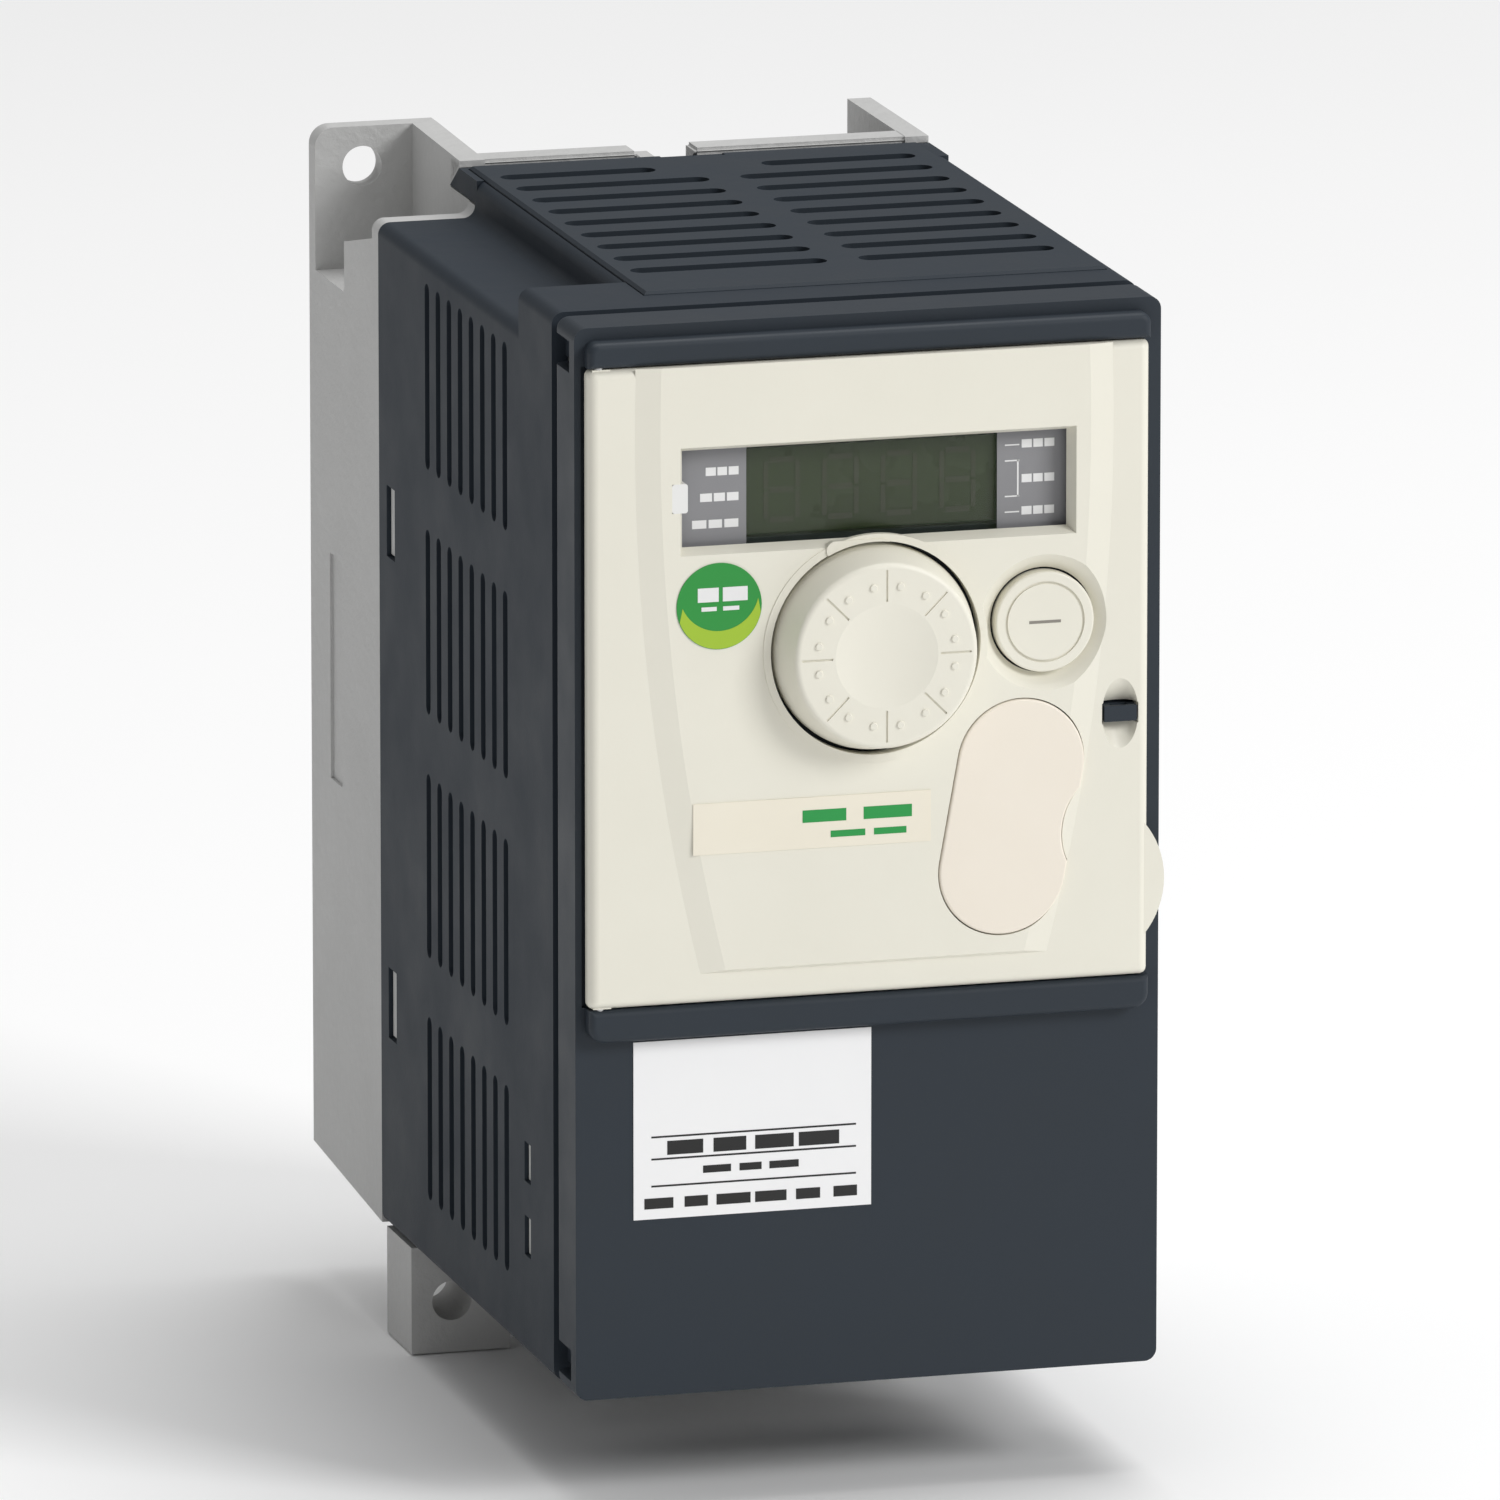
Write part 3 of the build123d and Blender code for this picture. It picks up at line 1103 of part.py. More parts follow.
with BuildPart() as cover_hinge_pins:
    for low in (COVER_Z[0] - COVER_PIN_REACH, COVER_Z[1] - COVER_PIN_IN):
        with BuildSketch(Plane.XY.offset(low)):
            with Locations((COVER_AXIS_X, COVER_AXIS_Y)):
                Circle(COVER_PIN_RADIUS)
        extrude(amount=COVER_PIN_IN + COVER_PIN_REACH)
put(cover_hinge_pins.part, "cover_hinge_pins")

with BuildPart() as key_blank:
    extrude(
        blank_outline(COVER_FACE + COVER_SKIN, 0),
        amount=COVER_SKIN + PILLOW_RISE + COLLAR_PROUD,
    )
    fillet(key_blank.faces().sort_by(Axis.Y)[0].edges(), EDGE_ROUND)
put(key_blank.part, "key_blank")

# ================================================================ operator panel
with BuildPart() as display_window:
    with BuildSketch(upright(FACE + LENS_THICK)):
        with Locations((DISPLAY_X, DISPLAY_Z)):
            Rectangle(LENS[0] - 2 * FIT_GAP, LENS[1] - 2 * FIT_GAP)
    extrude(amount=LENS_THICK)
put(display_window.part, "display_window")

with BuildPart() as legend_plates:
    plate_wide = (LENS[0] - DIGITS[0]) / 2 - LENS_SEAT - 2 * FIT_GAP
    with BuildSketch(upright(FACE + LENS_THICK + PLATE_THICK)):
        for side in (-1, 1):
            with Locations((DISPLAY_X + side * (DIGITS[0] + plate_wide + FIT_GAP) / 2, DISPLAY_Z)):
                Rectangle(plate_wide, LENS[1] - 2 * LENS_SEAT - 2 * FIT_GAP)
    extrude(amount=PLATE_THICK)
put(legend_plates.part, "legend_plates")

with BuildPart() as display_module:
    with BuildSketch(upright(behind(HMI_BEHIND))):
        with Locations((DISPLAY_X, DISPLAY_Z)):
            Rectangle(DIGITS[0] - 2 * SLIP_GAP, DIGITS[1] - SLIP_GAP)
    extrude(amount=HMI_BEHIND - LENS_THICK - DIGITS_GAP)
put(display_module.part, "display_module")

with BuildPart() as indicator_leds:
    with BuildSketch(upright(behind(HMI_BEHIND))):
        for side in (-1, 1):
            with Locations((DISPLAY_X + side * (DIGITS[0] / 2 + LED_OUT), DISPLAY_Z)):
                with GridLocations(1, LED_PITCH, 1, 3):
                    Rectangle(LED[0], LED[1])
    extrude(amount=LED[2])
put(indicator_leds.part, "indicator_leds")

HMI_BOARD_X = (from_left(HMI_BOARD_IN), from_right(WALL + LATCH_AT[1] + SLIP_GAP))
HMI_BOARD_Z = (below(HMI_BOARD_DOWN[1]), below(HMI_BOARD_DOWN[0]))
HMI_REAR = behind(HMI_BEHIND + BOARD_THICK)
put(holed_board(HMI_REAR, HMI_BOARD_X, HMI_BOARD_Z, BOSS_AT, BOSS_HOLE_RADIUS), "hmi_board")

# Pan-head screws, driven from behind the board into the door's bosses.
with BuildPart() as hmi_board_screws:
    with BuildSketch(upright(HMI_REAR + PAN_HIGH)):
        with Locations(*BOSS_AT):
            Circle(PAN_RADIUS)
    extrude(amount=PAN_HIGH)
    with BuildSketch(upright(HMI_REAR + PAN_HIGH)):
        with Locations(*BOSS_AT):
            Rectangle(PAN_SLOT[0], PAN_SLOT[1])
            Rectangle(PAN_SLOT[1], PAN_SLOT[0])
    extrude(amount=PAN_SLOT[2], mode=Mode.SUBTRACT)
    with BuildSketch(upright(HMI_REAR)):
        with Locations(*BOSS_AT):
            Circle(BOSS_HOLE_RADIUS)
    extrude(amount=BOARD_THICK + HMI_BEHIND - DOOR_SKIN - SCREW_SHORT)
put(hmi_board_screws.part, "hmi_board_screws")

# Each key is a cap, a stem through the door and a flange that keeps it in.
FLANGE_Y = behind(DOOR_SKIN + KEY_FLANGE_GAP)
for name in KEYS:
    cap_radius = ESC_RADIUS if name == "esc_key" else LOW_KEY_RADIUS
    cap_face = FACE - (ESC_PROUD[1] if name == "esc_key" else LOW_KEY_PROUD)
    cap_rear = FACE - (ESC_PROUD[0] if name == "esc_key" else 0)
    with BuildPart() as key:
        with BuildSketch(upright(FLANGE_Y)):
            with Locations(key_place(name)):
                Circle(KEY_STEM_RADIUS)
        extrude(amount=FLANGE_Y - cap_rear)
        with BuildSketch(upright(FLANGE_Y + KEY_FLANGE_THICK)):
            with Locations(key_place(name)):
                Circle(KEY_FLANGE_RADIUS)
        extrude(amount=KEY_FLANGE_THICK)
        with BuildSketch(upright(cap_rear)):
            with Locations(key_place(name)):
                Circle(cap_radius)
        extrude(amount=cap_rear - cap_face)
        fillet(key.faces().sort_by(Axis.Y)[0].edges(), EDGE_ROUND)
        if name == "esc_key":
            with BuildSketch(upright(cap_face)):
                with Locations(key_place(name)):
                    Circle(KEY_RING[1])
                    Circle(KEY_RING[0], mode=Mode.SUBTRACT)
            extrude(amount=-KEY_RING[2], mode=Mode.SUBTRACT)
    put(key.part, name)

PLUNGER_Y = FLANGE_Y + KEY_FLANGE_THICK + KEY_TRAVEL + PLUNGER_GAP
with BuildPart() as key_switches:
    with BuildSketch(upright(behind(HMI_BEHIND))):
        with Locations(*[key_place(name) for name in KEYS]):
            Rectangle(SWITCH_WIDE, SWITCH_WIDE)
    extrude(amount=SWITCH_THICK)
    with BuildSketch(upright(behind(HMI_BEHIND) - SWITCH_THICK)):
        with Locations(*[key_place(name) for name in KEYS]):
            Circle(PLUNGER_RADIUS)
    extrude(amount=behind(HMI_BEHIND) - SWITCH_THICK - PLUNGER_Y)
put(key_switches.part, "key_switches")

# ================================================================ dial and its encoder
ENCODER_FRONT = behind(DOOR_SKIN + ENCODER_GAP)
CAVITY_Y = (ENCODER_FRONT + ENCODER_CAVITY[0], behind(HMI_BEHIND) - ENCODER_CAVITY[1])
RING_Y = CAVITY_Y[0] + ENCODER_TRAVEL
with BuildPart() as encoder_body:
    with BuildSketch(upright(behind(HMI_BEHIND))):
        with Locations((DIAL_X, DIAL_Z)):
            Rectangle(ENCODER, ENCODER)
    extrude(amount=behind(HMI_BEHIND) - ENCODER_FRONT)
    with BuildSketch(upright(ENCODER_FRONT)):
        with Locations((DIAL_X, DIAL_Z)):
            Circle(BUSH_RADIUS)
    extrude(amount=ENCODER_FRONT - FACE + BUSH_PROUD)
    with BuildSketch(upright(CAVITY_Y[1])):
        with Locations((DIAL_X, DIAL_Z)):
            Circle(ENCODER_CAVITY[2])
    extrude(amount=CAVITY_Y[1] - CAVITY_Y[0], mode=Mode.SUBTRACT)
    with BuildSketch(upright(CAVITY_Y[0])):
        with Locations((DIAL_X, DIAL_Z)):
            Circle(SHAFT_RADIUS + RUNNING_GAP)
    extrude(amount=CAVITY_Y[0] - FACE + OVERCUT, mode=Mode.SUBTRACT)
put(encoder_body.part, "encoder_body")

DIAL_REAR = FACE - DIAL_RELIEF
DIAL_FACE = FACE - DIAL_PROUD
SOCKET_END = DIAL_FACE + DIAL_SOCKET_FLOOR
with BuildPart() as dial_shaft:
    with BuildSketch(upright(RING_Y)):
        with Locations((DIAL_X, DIAL_Z)):
            Circle(SHAFT_RADIUS)
    extrude(amount=RING_Y - SOCKET_END)
    with BuildSketch(upright(RING_Y)):
        with Locations((DIAL_X, DIAL_Z)):
            Circle(SHAFT_RADIUS + SHAFT_RING[0])
    extrude(amount=SHAFT_RING[1])
put(dial_shaft.part, "dial_shaft")

with BuildPart() as push_plate:
    with BuildSketch(upright(RING_Y + SHAFT_RING[1])):
        with Locations((DIAL_X, DIAL_Z)):
            Circle(SHAFT_RADIUS + SHAFT_RING[0])
    extrude(amount=SHAFT_RING[1])
put(push_plate.part, "push_plate")

with BuildPart() as dial_knob:
    with BuildSketch(Plane((DIAL_X, 0, DIAL_Z), x_dir=(1, 0, 0), z_dir=(0, 0, 1))):
        with BuildLine():
            Polyline(
                (SHAFT_RADIUS, DIAL_REAR - DIAL_HUB_SHORT),
                (SHAFT_RADIUS, SOCKET_END),
                (0, SOCKET_END),
                (0, DIAL_FACE),
                (DIAL_FACE_RADIUS, DIAL_FACE),
                (DIAL_BASE_RADIUS, DIAL_REAR - DIAL_RIM),
                (DIAL_BASE_RADIUS, DIAL_REAR),
                (DIAL_BASE_RADIUS - DIAL_RIM, DIAL_REAR),
                (DIAL_FACE_RADIUS - DIAL_RIM, DIAL_FACE + DIAL_SKIN),
                (SHAFT_RADIUS + DIAL_SOCKET_WALL, DIAL_FACE + DIAL_SKIN),
                (SHAFT_RADIUS + DIAL_SOCKET_WALL, DIAL_REAR - DIAL_HUB_SHORT),
                close=True,
            )
        make_face()
    revolve(axis=Axis((DIAL_X, 0, DIAL_Z), (0, 1, 0)))
    fillet(dial_knob.faces().filter_by(Axis.Y).sort_by(Axis.Y)[0].edges(), DIAL_ROUND)
    # concave thumb dish
    dish_sphere = (DIAL_DISH_RADIUS**2 + DIAL_DISH_DEEP**2) / (2 * DIAL_DISH_DEEP)
    with Locations((DIAL_X, DIAL_FACE + DIAL_DISH_DEEP - dish_sphere, DIAL_Z)):
        Sphere(dish_sphere, mode=Mode.SUBTRACT)
    # engraved lines, with raised dots between them
    ring_radius, count, long, wide, deep = DIAL_LINES
    with BuildSketch(upright(DIAL_FACE)):
        with Locations((DIAL_X, DIAL_Z)):
            with PolarLocations(ring_radius, count):
                Rectangle(long, wide)
    extrude(amount=-deep, mode=Mode.SUBTRACT)
    ring_radius, count, dot_radius, dot_high = DIAL_DOTS
    with BuildSketch(upright(DIAL_FACE)):
        with Locations((DIAL_X, DIAL_Z)):
            with PolarLocations(ring_radius, count, start_angle=180 / count):
                Circle(dot_radius)
    extrude(amount=dot_high, taper=DIAL_DOT_TAPER)
put(dial_knob.part, "dial_knob")

# ================================================================ labels and light pipe
LIP_FOOT = LIP_FROM_TOP[1]
with BuildPart() as rating_label:
    with BuildSketch(upright(FACE)):
        slab(
            (from_left(RATING_X[0]), from_left(RATING_X[1])),
            (below(LIP_FOOT + RATING_BELOW_LIP[1]), below(LIP_FOOT + RATING_BELOW_LIP[0])),
        )
    extrude(amount=LABEL_THICK)
put(rating_label.part, "rating_label")

with BuildPart() as name_strip:
    with BuildSketch(upright(PILLOW_FACE)):
        slab((from_left(STRIP_X[0]), from_left(STRIP_X[1])), (below(STRIP_DOWN[1]), below(STRIP_DOWN[0])))
    extrude(amount=LABEL_THICK)
put(name_strip.part, "name_strip")

with BuildPart() as round_label:
    with BuildSketch(upright(PILLOW_FACE)):
        with Locations((from_left(DOT_AT[0]), below(DOT_AT[1]))):
            Circle(DOT_RADIUS)
    extrude(amount=LABEL_THICK)
put(round_label.part, "round_label")

with BuildPart() as light_pipe:
    brick(PIPE_X, (PILLOW_FACE, COVER_FACE + COVER_SKIN), PIPE_Z)
    fillet(light_pipe.edges().filter_by(Axis.Y), EDGE_ROUND)
put(light_pipe.part, "light_pipe")

# ================================================================ power side
POWER_BOARD_X = (from_left(POWER_BOARD_IN), from_right(POWER_BOARD_IN))
POWER_BOARD_Z = (above(BOARD_EDGE), below(BOARD_EDGE))
put(
    holed_board(POWER_BOARD_REAR, POWER_BOARD_X, POWER_BOARD_Z, POWER_SCREWS, SCREW_RADIUS),
    "power_board",
)


def on_power_board(x, low, high, thick):
    """A block standing on the front of the power board."""
    brick(x, (POWER_BOARD_FACE - thick, POWER_BOARD_FACE), (above(low), above(high)))


with BuildPart() as power_module:
    brick(
        (-MODULE[0] / 2, MODULE[0] / 2),
        (POWER_BOARD_REAR, SPIGOT_FACE),
        (above(MODULE[1]), above(MODULE[2])),
    )
    brick(
        (-MODULE_FOOT[0] / 2, MODULE_FOOT[0] / 2),
        (SPIGOT_FACE - MODULE_FOOT_THICK, SPIGOT_FACE),
        (above(MODULE_FOOT[1]), above(MODULE_FOOT[2])),
    )
    with BuildSketch(upright(SPIGOT_FACE)):
        with Locations(*MODULE_SCREWS):
            Circle(SCREW_RADIUS)
    extrude(amount=MODULE_FOOT_THICK, mode=Mode.SUBTRACT)
put(power_module.part, "power_module")

SHANK = SCREW_RADIUS - RUNNING_GAP
module_screws = screws(
    MODULE_SCREWS,
    SPIGOT_FACE - MODULE_FOOT_THICK,
    SCREW_HEAD_RADIUS,
    SCREW_HEAD_HIGH,
    SHANK,
    MODULE_FOOT_THICK + TAPPED_DEEP - SCREW_SHORT,
)
put(module_screws, "module_screws")
earth_screws = screws(
    EARTH_SCREWS,
    SPIGOT_FACE,
    EARTH_HEAD_RADIUS,
    EARTH_HEAD_HIGH,
    EARTH_RADIUS - RUNNING_GAP,
    TAPPED_DEEP - SCREW_SHORT,
)
put(earth_screws, "earth_screws")

CARRIER_FACE = behind(CARRIER_BEHIND)
CONTROL_SPACER = CARRIER_BEHIND - CONTROL_BEHIND - BOARD_THICK
power_spacers = spacers(POWER_SCREWS, SPIGOT_FACE, MODULE_THICK)
control_spacers = spacers(CONTROL_SCREWS, CARRIER_FACE, CONTROL_SPACER)
put(Compound(children=[*power_spacers.solids(), *control_spacers.solids()]), "board_spacers")

power_screws = screws(
    POWER_SCREWS,
    POWER_BOARD_FACE,
    SCREW_HEAD_RADIUS,
    SCREW_HEAD_HIGH,
    SHANK,
    BOARD_THICK + MODULE_THICK + TAPPED_DEEP - SCREW_SHORT,
)
control_screws = screws(
    CONTROL_SCREWS,
    behind(CONTROL_BEHIND),
    SCREW_HEAD_RADIUS,
    SCREW_HEAD_HIGH,
    SHANK,
    BOARD_THICK + CONTROL_SPACER - SCREW_SHORT,
)
put(Compound(children=[*power_screws.solids(), *control_screws.solids()]), "board_screws")

with BuildPart() as bus_capacitors:
    with BuildSketch(upright(POWER_BOARD_FACE)):
        with Locations(*[(from_left(CAPACITOR_IN), above(up)) for up in CAPACITOR_UP]):
            Circle(CAPACITOR_RADIUS)
    extrude(amount=CAPACITOR_LONG)
    fillet(bus_capacitors.faces().filter_by(Axis.Y).group_by(Axis.Y)[0].edges(), CAPACITOR_ROUND)
put(bus_capacitors.part, "bus_capacitors")

with BuildPart() as filter_choke:
    with BuildSketch(upright(POWER_BOARD_FACE)):
        with Locations((from_right(CHOKE_AT[0]), above(CHOKE_AT[1]))):
            Circle(CHOKE_RADII[1])
            Circle(CHOKE_RADII[0], mode=Mode.SUBTRACT)
    extrude(amount=CHOKE_THICK)
    fillet(filter_choke.faces().filter_by(Axis.Y).sort_by(Axis.Y)[0].edges(), CHOKE_ROUND)
put(filter_choke.part, "filter_choke")

with BuildPart() as filter_capacitors:
    for low, high in FILM_CAPACITOR_UP:
        on_power_board(
            (from_right(FILM_CAPACITOR_X[1]), from_right(FILM_CAPACITOR_X[0])),
            low,
            high,
            FILM_CAPACITOR_THICK,
        )
put(filter_capacitors.part, "filter_capacitors")

with BuildPart() as relay:
    on_power_board((from_right(RELAY[1]), from_right(RELAY[0])), *RELAY[2:])
    fillet(relay.edges().filter_by(Axis.Y), RELAY_ROUND)
put(relay.part, "relay")

with BuildPart() as transformer:
    for block in (TRANSFORMER_CORE, TRANSFORMER_COIL):
        on_power_board((from_left(block[0]), from_left(block[1])), *block[2:])
put(transformer.part, "transformer")

TERMINAL_X = (from_left(POWER_TERMINAL_IN), from_right(POWER_TERMINAL_IN))
TERMINAL_Z = (above(POWER_TERMINAL_UP[0]), above(POWER_TERMINAL_UP[1]))
TERMINAL_FACE = POWER_BOARD_FACE - POWER_TERMINAL_THICK
block, POWER_WELLS = terminal_block(
    TERMINAL_X, TERMINAL_Z, TERMINAL_FACE, POWER_BOARD_FACE, POWER_POLES, POWER_WELL, POWER_WIRE
)
with BuildPart() as power_terminals:
    add(block)
    for left_well, right_well in zip(POWER_WELLS, POWER_WELLS[1:]):
        x = (left_well[0] + right_well[0]) / 2
        brick(
            (x - POWER_FENCE[0] / 2, x + POWER_FENCE[0] / 2),
            (TERMINAL_FACE - POWER_FENCE[1], TERMINAL_FACE),
            TERMINAL_Z,
        )
put(power_terminals.part, "power_terminals")


def clamp_screws(wells, face_y, clamp, well_deep):
    """The heads of a terminal row's screws, seated on the floors of their wells."""
    return screws(wells, face_y + clamp[2], clamp[0], clamp[1], clamp[0] / 2, well_deep - clamp[2])


put(clamp_screws(POWER_WELLS, TERMINAL_FACE, POWER_CLAMP, POWER_WELL[1]), "power_terminal_screws")

# ================================================================ control side
with BuildPart() as carrier:
    brick(
        (from_left(WALL), from_right(WALL)),
        (CARRIER_FACE, CARRIER_FACE + CARRIER_THICK),
        (above(CARRIER_UP), below(CARRIER_DOWN)),
    )
    for skin, inward in ((LEFT, 1), (RIGHT, -1)):
        outer = skin + inward * WALL
        inner = outer + inward * CHEEK_THICK
        brick(
            (min(inner, outer), max(inner, outer)),
            (behind(CHEEK_BEHIND), CARRIER_FACE + CARRIER_THICK),
            (above(CHEEK_UP[0]), above(CHEEK_UP[1])),
        )
        # noses that snap into the housing's catch windows
        with BuildSketch(Plane.YZ.offset(skin + inward * NOSE_SHORT)):
            with Locations(*[(behind(CATCH_BEHIND), above(height)) for height in CATCH_HEIGHTS]):
                Rectangle(CATCH_WINDOW[0] - 2 * FIT_GAP, CATCH_WINDOW[1] - 2 * FIT_GAP)
        extrude(amount=inward * (WALL - NOSE_SHORT))
    # air slots, and the opening for the board connector
    with BuildSketch(upright(CARRIER_FACE)):
        with Locations((from_left(AIR_SLOTS_AT[0]), above(AIR_SLOTS_AT[1]))):
            with GridLocations(AIR_SLOT_PITCH, 1, AIR_SLOTS, 1):
                SlotOverall(*AIR_SLOT, rotation=90)
    extrude(amount=-CARRIER_THICK, mode=Mode.SUBTRACT)
    brick(
        (from_right(CONNECTOR_X[1] + CONNECTOR_GAP), from_right(CONNECTOR_X[0] - CONNECTOR_GAP)),
        (CARRIER_FACE, CARRIER_FACE + CARRIER_THICK),
        (above(CONNECTOR_UP[0] - CONNECTOR_GAP), above(CONNECTOR_UP[1] + CONNECTOR_GAP)),
        Mode.SUBTRACT,
    )
put(carrier.part, "carrier")

CONTROL_FACE = behind(CONTROL_BEHIND)
CONTROL_REAR = CONTROL_FACE + BOARD_THICK
CONTROL_BOARD_X = (from_left(CONTROL_BOARD_IN), from_right(CONTROL_BOARD_IN))
CONTROL_BOARD_Z = (above(CONTROL_BOARD_UP), below(CONTROL_BOARD_DOWN))
put(
    holed_board(CONTROL_REAR, CONTROL_BOARD_X, CONTROL_BOARD_Z, CONTROL_SCREWS, SCREW_RADIUS),
    "control_board",
)

with BuildPart() as board_connector:
    brick(
        (from_right(CONNECTOR_X[1]), from_right(CONNECTOR_X[0])),
        (CONTROL_REAR, POWER_BOARD_FACE),
        (above(CONNECTOR_UP[0]), above(CONNECTOR_UP[1])),
    )
put(board_connector.part, "board_connector")

with BuildPart() as control_chips:
    with BuildSketch(upright(CONTROL_FACE)):
        for place, chip in CHIPS:
            with Locations((from_left(place[0]), above(place[1]))):
                Rectangle(*chip)
    extrude(amount=CHIP_THICK)
put(control_chips.part, "control_chips")

CONTROL_TERMINAL_FACE = CONTROL_FACE - CONTROL_TERMINAL_THICK
control_terminals, CONTROL_WELLS = terminal_block(
    (from_left(CONTROL_TERMINAL_X[0]), from_left(CONTROL_TERMINAL_X[1])),
    (above(CONTROL_TERMINAL_UP[0]), above(CONTROL_TERMINAL_UP[1])),
    CONTROL_TERMINAL_FACE,
    CONTROL_FACE,
    CONTROL_POLES,
    CONTROL_WELL,
    CONTROL_WIRE,
)
put(control_terminals, "control_terminals")
put(
    clamp_screws(CONTROL_WELLS, CONTROL_TERMINAL_FACE, CONTROL_CLAMP, CONTROL_WELL[1]),
    "control_terminal_screws",
)

with BuildPart() as network_socket:
    brick(
        (from_left(SOCKET_X[0]), from_left(SOCKET_X[1])),
        (CONTROL_FACE - SOCKET_THICK, CONTROL_FACE),
        (above(SOCKET_UP[0]), above(SOCKET_UP[1])),
    )
    brick(
        (from_left(SOCKET_CAVITY_X[0]), from_left(SOCKET_CAVITY_X[1])),
        (CONTROL_FACE - SOCKET_CAVITY[1], CONTROL_FACE - SOCKET_CAVITY[0]),
        (above(SOCKET_UP[0]), above(SOCKET_UP[0] + SOCKET_CAVITY[2])),
        Mode.SUBTRACT,
    )
put(network_socket.part, "network_socket")
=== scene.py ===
"""Compact motor speed controller: finishes, printed marks, fitted board parts, camera and light."""

import logging
import math
from dataclasses import dataclass
from enum import Enum

import bmesh
import bpy
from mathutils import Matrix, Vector


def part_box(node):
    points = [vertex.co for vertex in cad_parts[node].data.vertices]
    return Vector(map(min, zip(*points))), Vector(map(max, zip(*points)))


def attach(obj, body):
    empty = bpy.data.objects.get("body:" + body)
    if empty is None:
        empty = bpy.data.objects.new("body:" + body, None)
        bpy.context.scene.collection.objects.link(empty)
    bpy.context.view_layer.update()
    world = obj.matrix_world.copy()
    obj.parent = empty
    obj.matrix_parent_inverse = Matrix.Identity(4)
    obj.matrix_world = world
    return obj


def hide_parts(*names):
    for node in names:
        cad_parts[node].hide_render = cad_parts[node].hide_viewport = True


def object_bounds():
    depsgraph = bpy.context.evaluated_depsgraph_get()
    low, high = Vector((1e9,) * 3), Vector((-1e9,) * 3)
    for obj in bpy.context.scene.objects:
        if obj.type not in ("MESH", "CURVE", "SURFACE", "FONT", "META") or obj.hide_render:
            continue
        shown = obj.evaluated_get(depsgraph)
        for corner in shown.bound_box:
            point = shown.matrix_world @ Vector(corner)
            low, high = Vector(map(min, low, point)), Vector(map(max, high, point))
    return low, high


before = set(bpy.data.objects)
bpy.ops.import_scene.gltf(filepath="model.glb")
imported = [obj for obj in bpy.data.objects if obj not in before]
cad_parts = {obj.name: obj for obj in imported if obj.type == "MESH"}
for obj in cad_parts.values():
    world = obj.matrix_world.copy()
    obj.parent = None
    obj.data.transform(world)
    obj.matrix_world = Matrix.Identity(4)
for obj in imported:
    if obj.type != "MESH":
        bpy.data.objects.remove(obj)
CAD_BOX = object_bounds()

MM = 0.001
log = logging.getLogger("drive")


# ---------------------------------------------------------------- helpers
def srgb(code: str) -> tuple[float, float, float, float]:
    """Turns an sRGB hex colour to the linear values that shaders and lights take.

    Args:
        code: Six hex digits, without a hash.

    Returns:
        Linear red, green and blue, with an alpha of 1.
    """
    channels = [int(code[start:start + 2], 16) / 255 for start in (0, 2, 4)]
    linear = [c / 12.92 if c <= 0.04045 else ((c + 0.055) / 1.055) ** 2.4 for c in channels]
    return (linear[0], linear[1], linear[2], 1.0)


def add(
    tree: bpy.types.NodeTree,
    kind: str,
    inputs: dict[str | int, object] | None = None,
    **settings: object,
) -> bpy.types.Node:
    """Adds a node to a shader or geometry tree.

    Args:
        tree: The tree that gets the node.
        kind: The node's type name.
        inputs: Values or output sockets for its inputs, by name or index.
        **settings: Properties of the node itself.

    Returns:
        The new node.
    """
    node = tree.nodes.new(kind)
    for name, value in settings.items():
        setattr(node, name, value)
    for key, value in (inputs or {}).items():
        if isinstance(value, bpy.types.NodeSocket):
            tree.links.new(value, node.inputs[key])
        else:
            node.inputs[key].default_value = value
    return node


def geometry_tree(name: str, sizes: dict[str, str]) -> tuple[bpy.types.NodeTree, bpy.types.Node]:
    """Starts a Geometry Nodes tree with named inputs.

    Args:
        name: The tree's name.
        sizes: Socket type of each named input.

    Returns:
        The tree and its input node.
    """
    tree = bpy.data.node_groups.new(name, "GeometryNodeTree")
    for label, kind in sizes.items():
        tree.interface.new_socket(name=label, in_out="INPUT", socket_type=f"NodeSocket{kind}")
    tree.interface.new_socket(name="Geometry", in_out="OUTPUT", socket_type="NodeSocketGeometry")
    return tree, tree.nodes.new("NodeGroupInput")


def close_tree(
    tree: bpy.types.NodeTree,
    geometry: bpy.types.NodeSocket,
    finish: bpy.types.NodeSocket | None = None,
) -> bpy.types.NodeTree:
    """Ends a tree in Realize Instances and Set Material.

    Args:
        tree: The tree to end.
        geometry: What the tree has made.
        finish: Output socket that gives the material, or None where it is already set.

    Returns:
        The finished tree.
    """
    last = add(tree, "GeometryNodeRealizeInstances", {"Geometry": geometry}).outputs[0]
    if finish is not None:
        last = add(
            tree, "GeometryNodeSetMaterial", {"Geometry": last, "Material": finish}
        ).outputs[0]
    add(tree, "NodeGroupOutput", {"Geometry": last})
    return tree


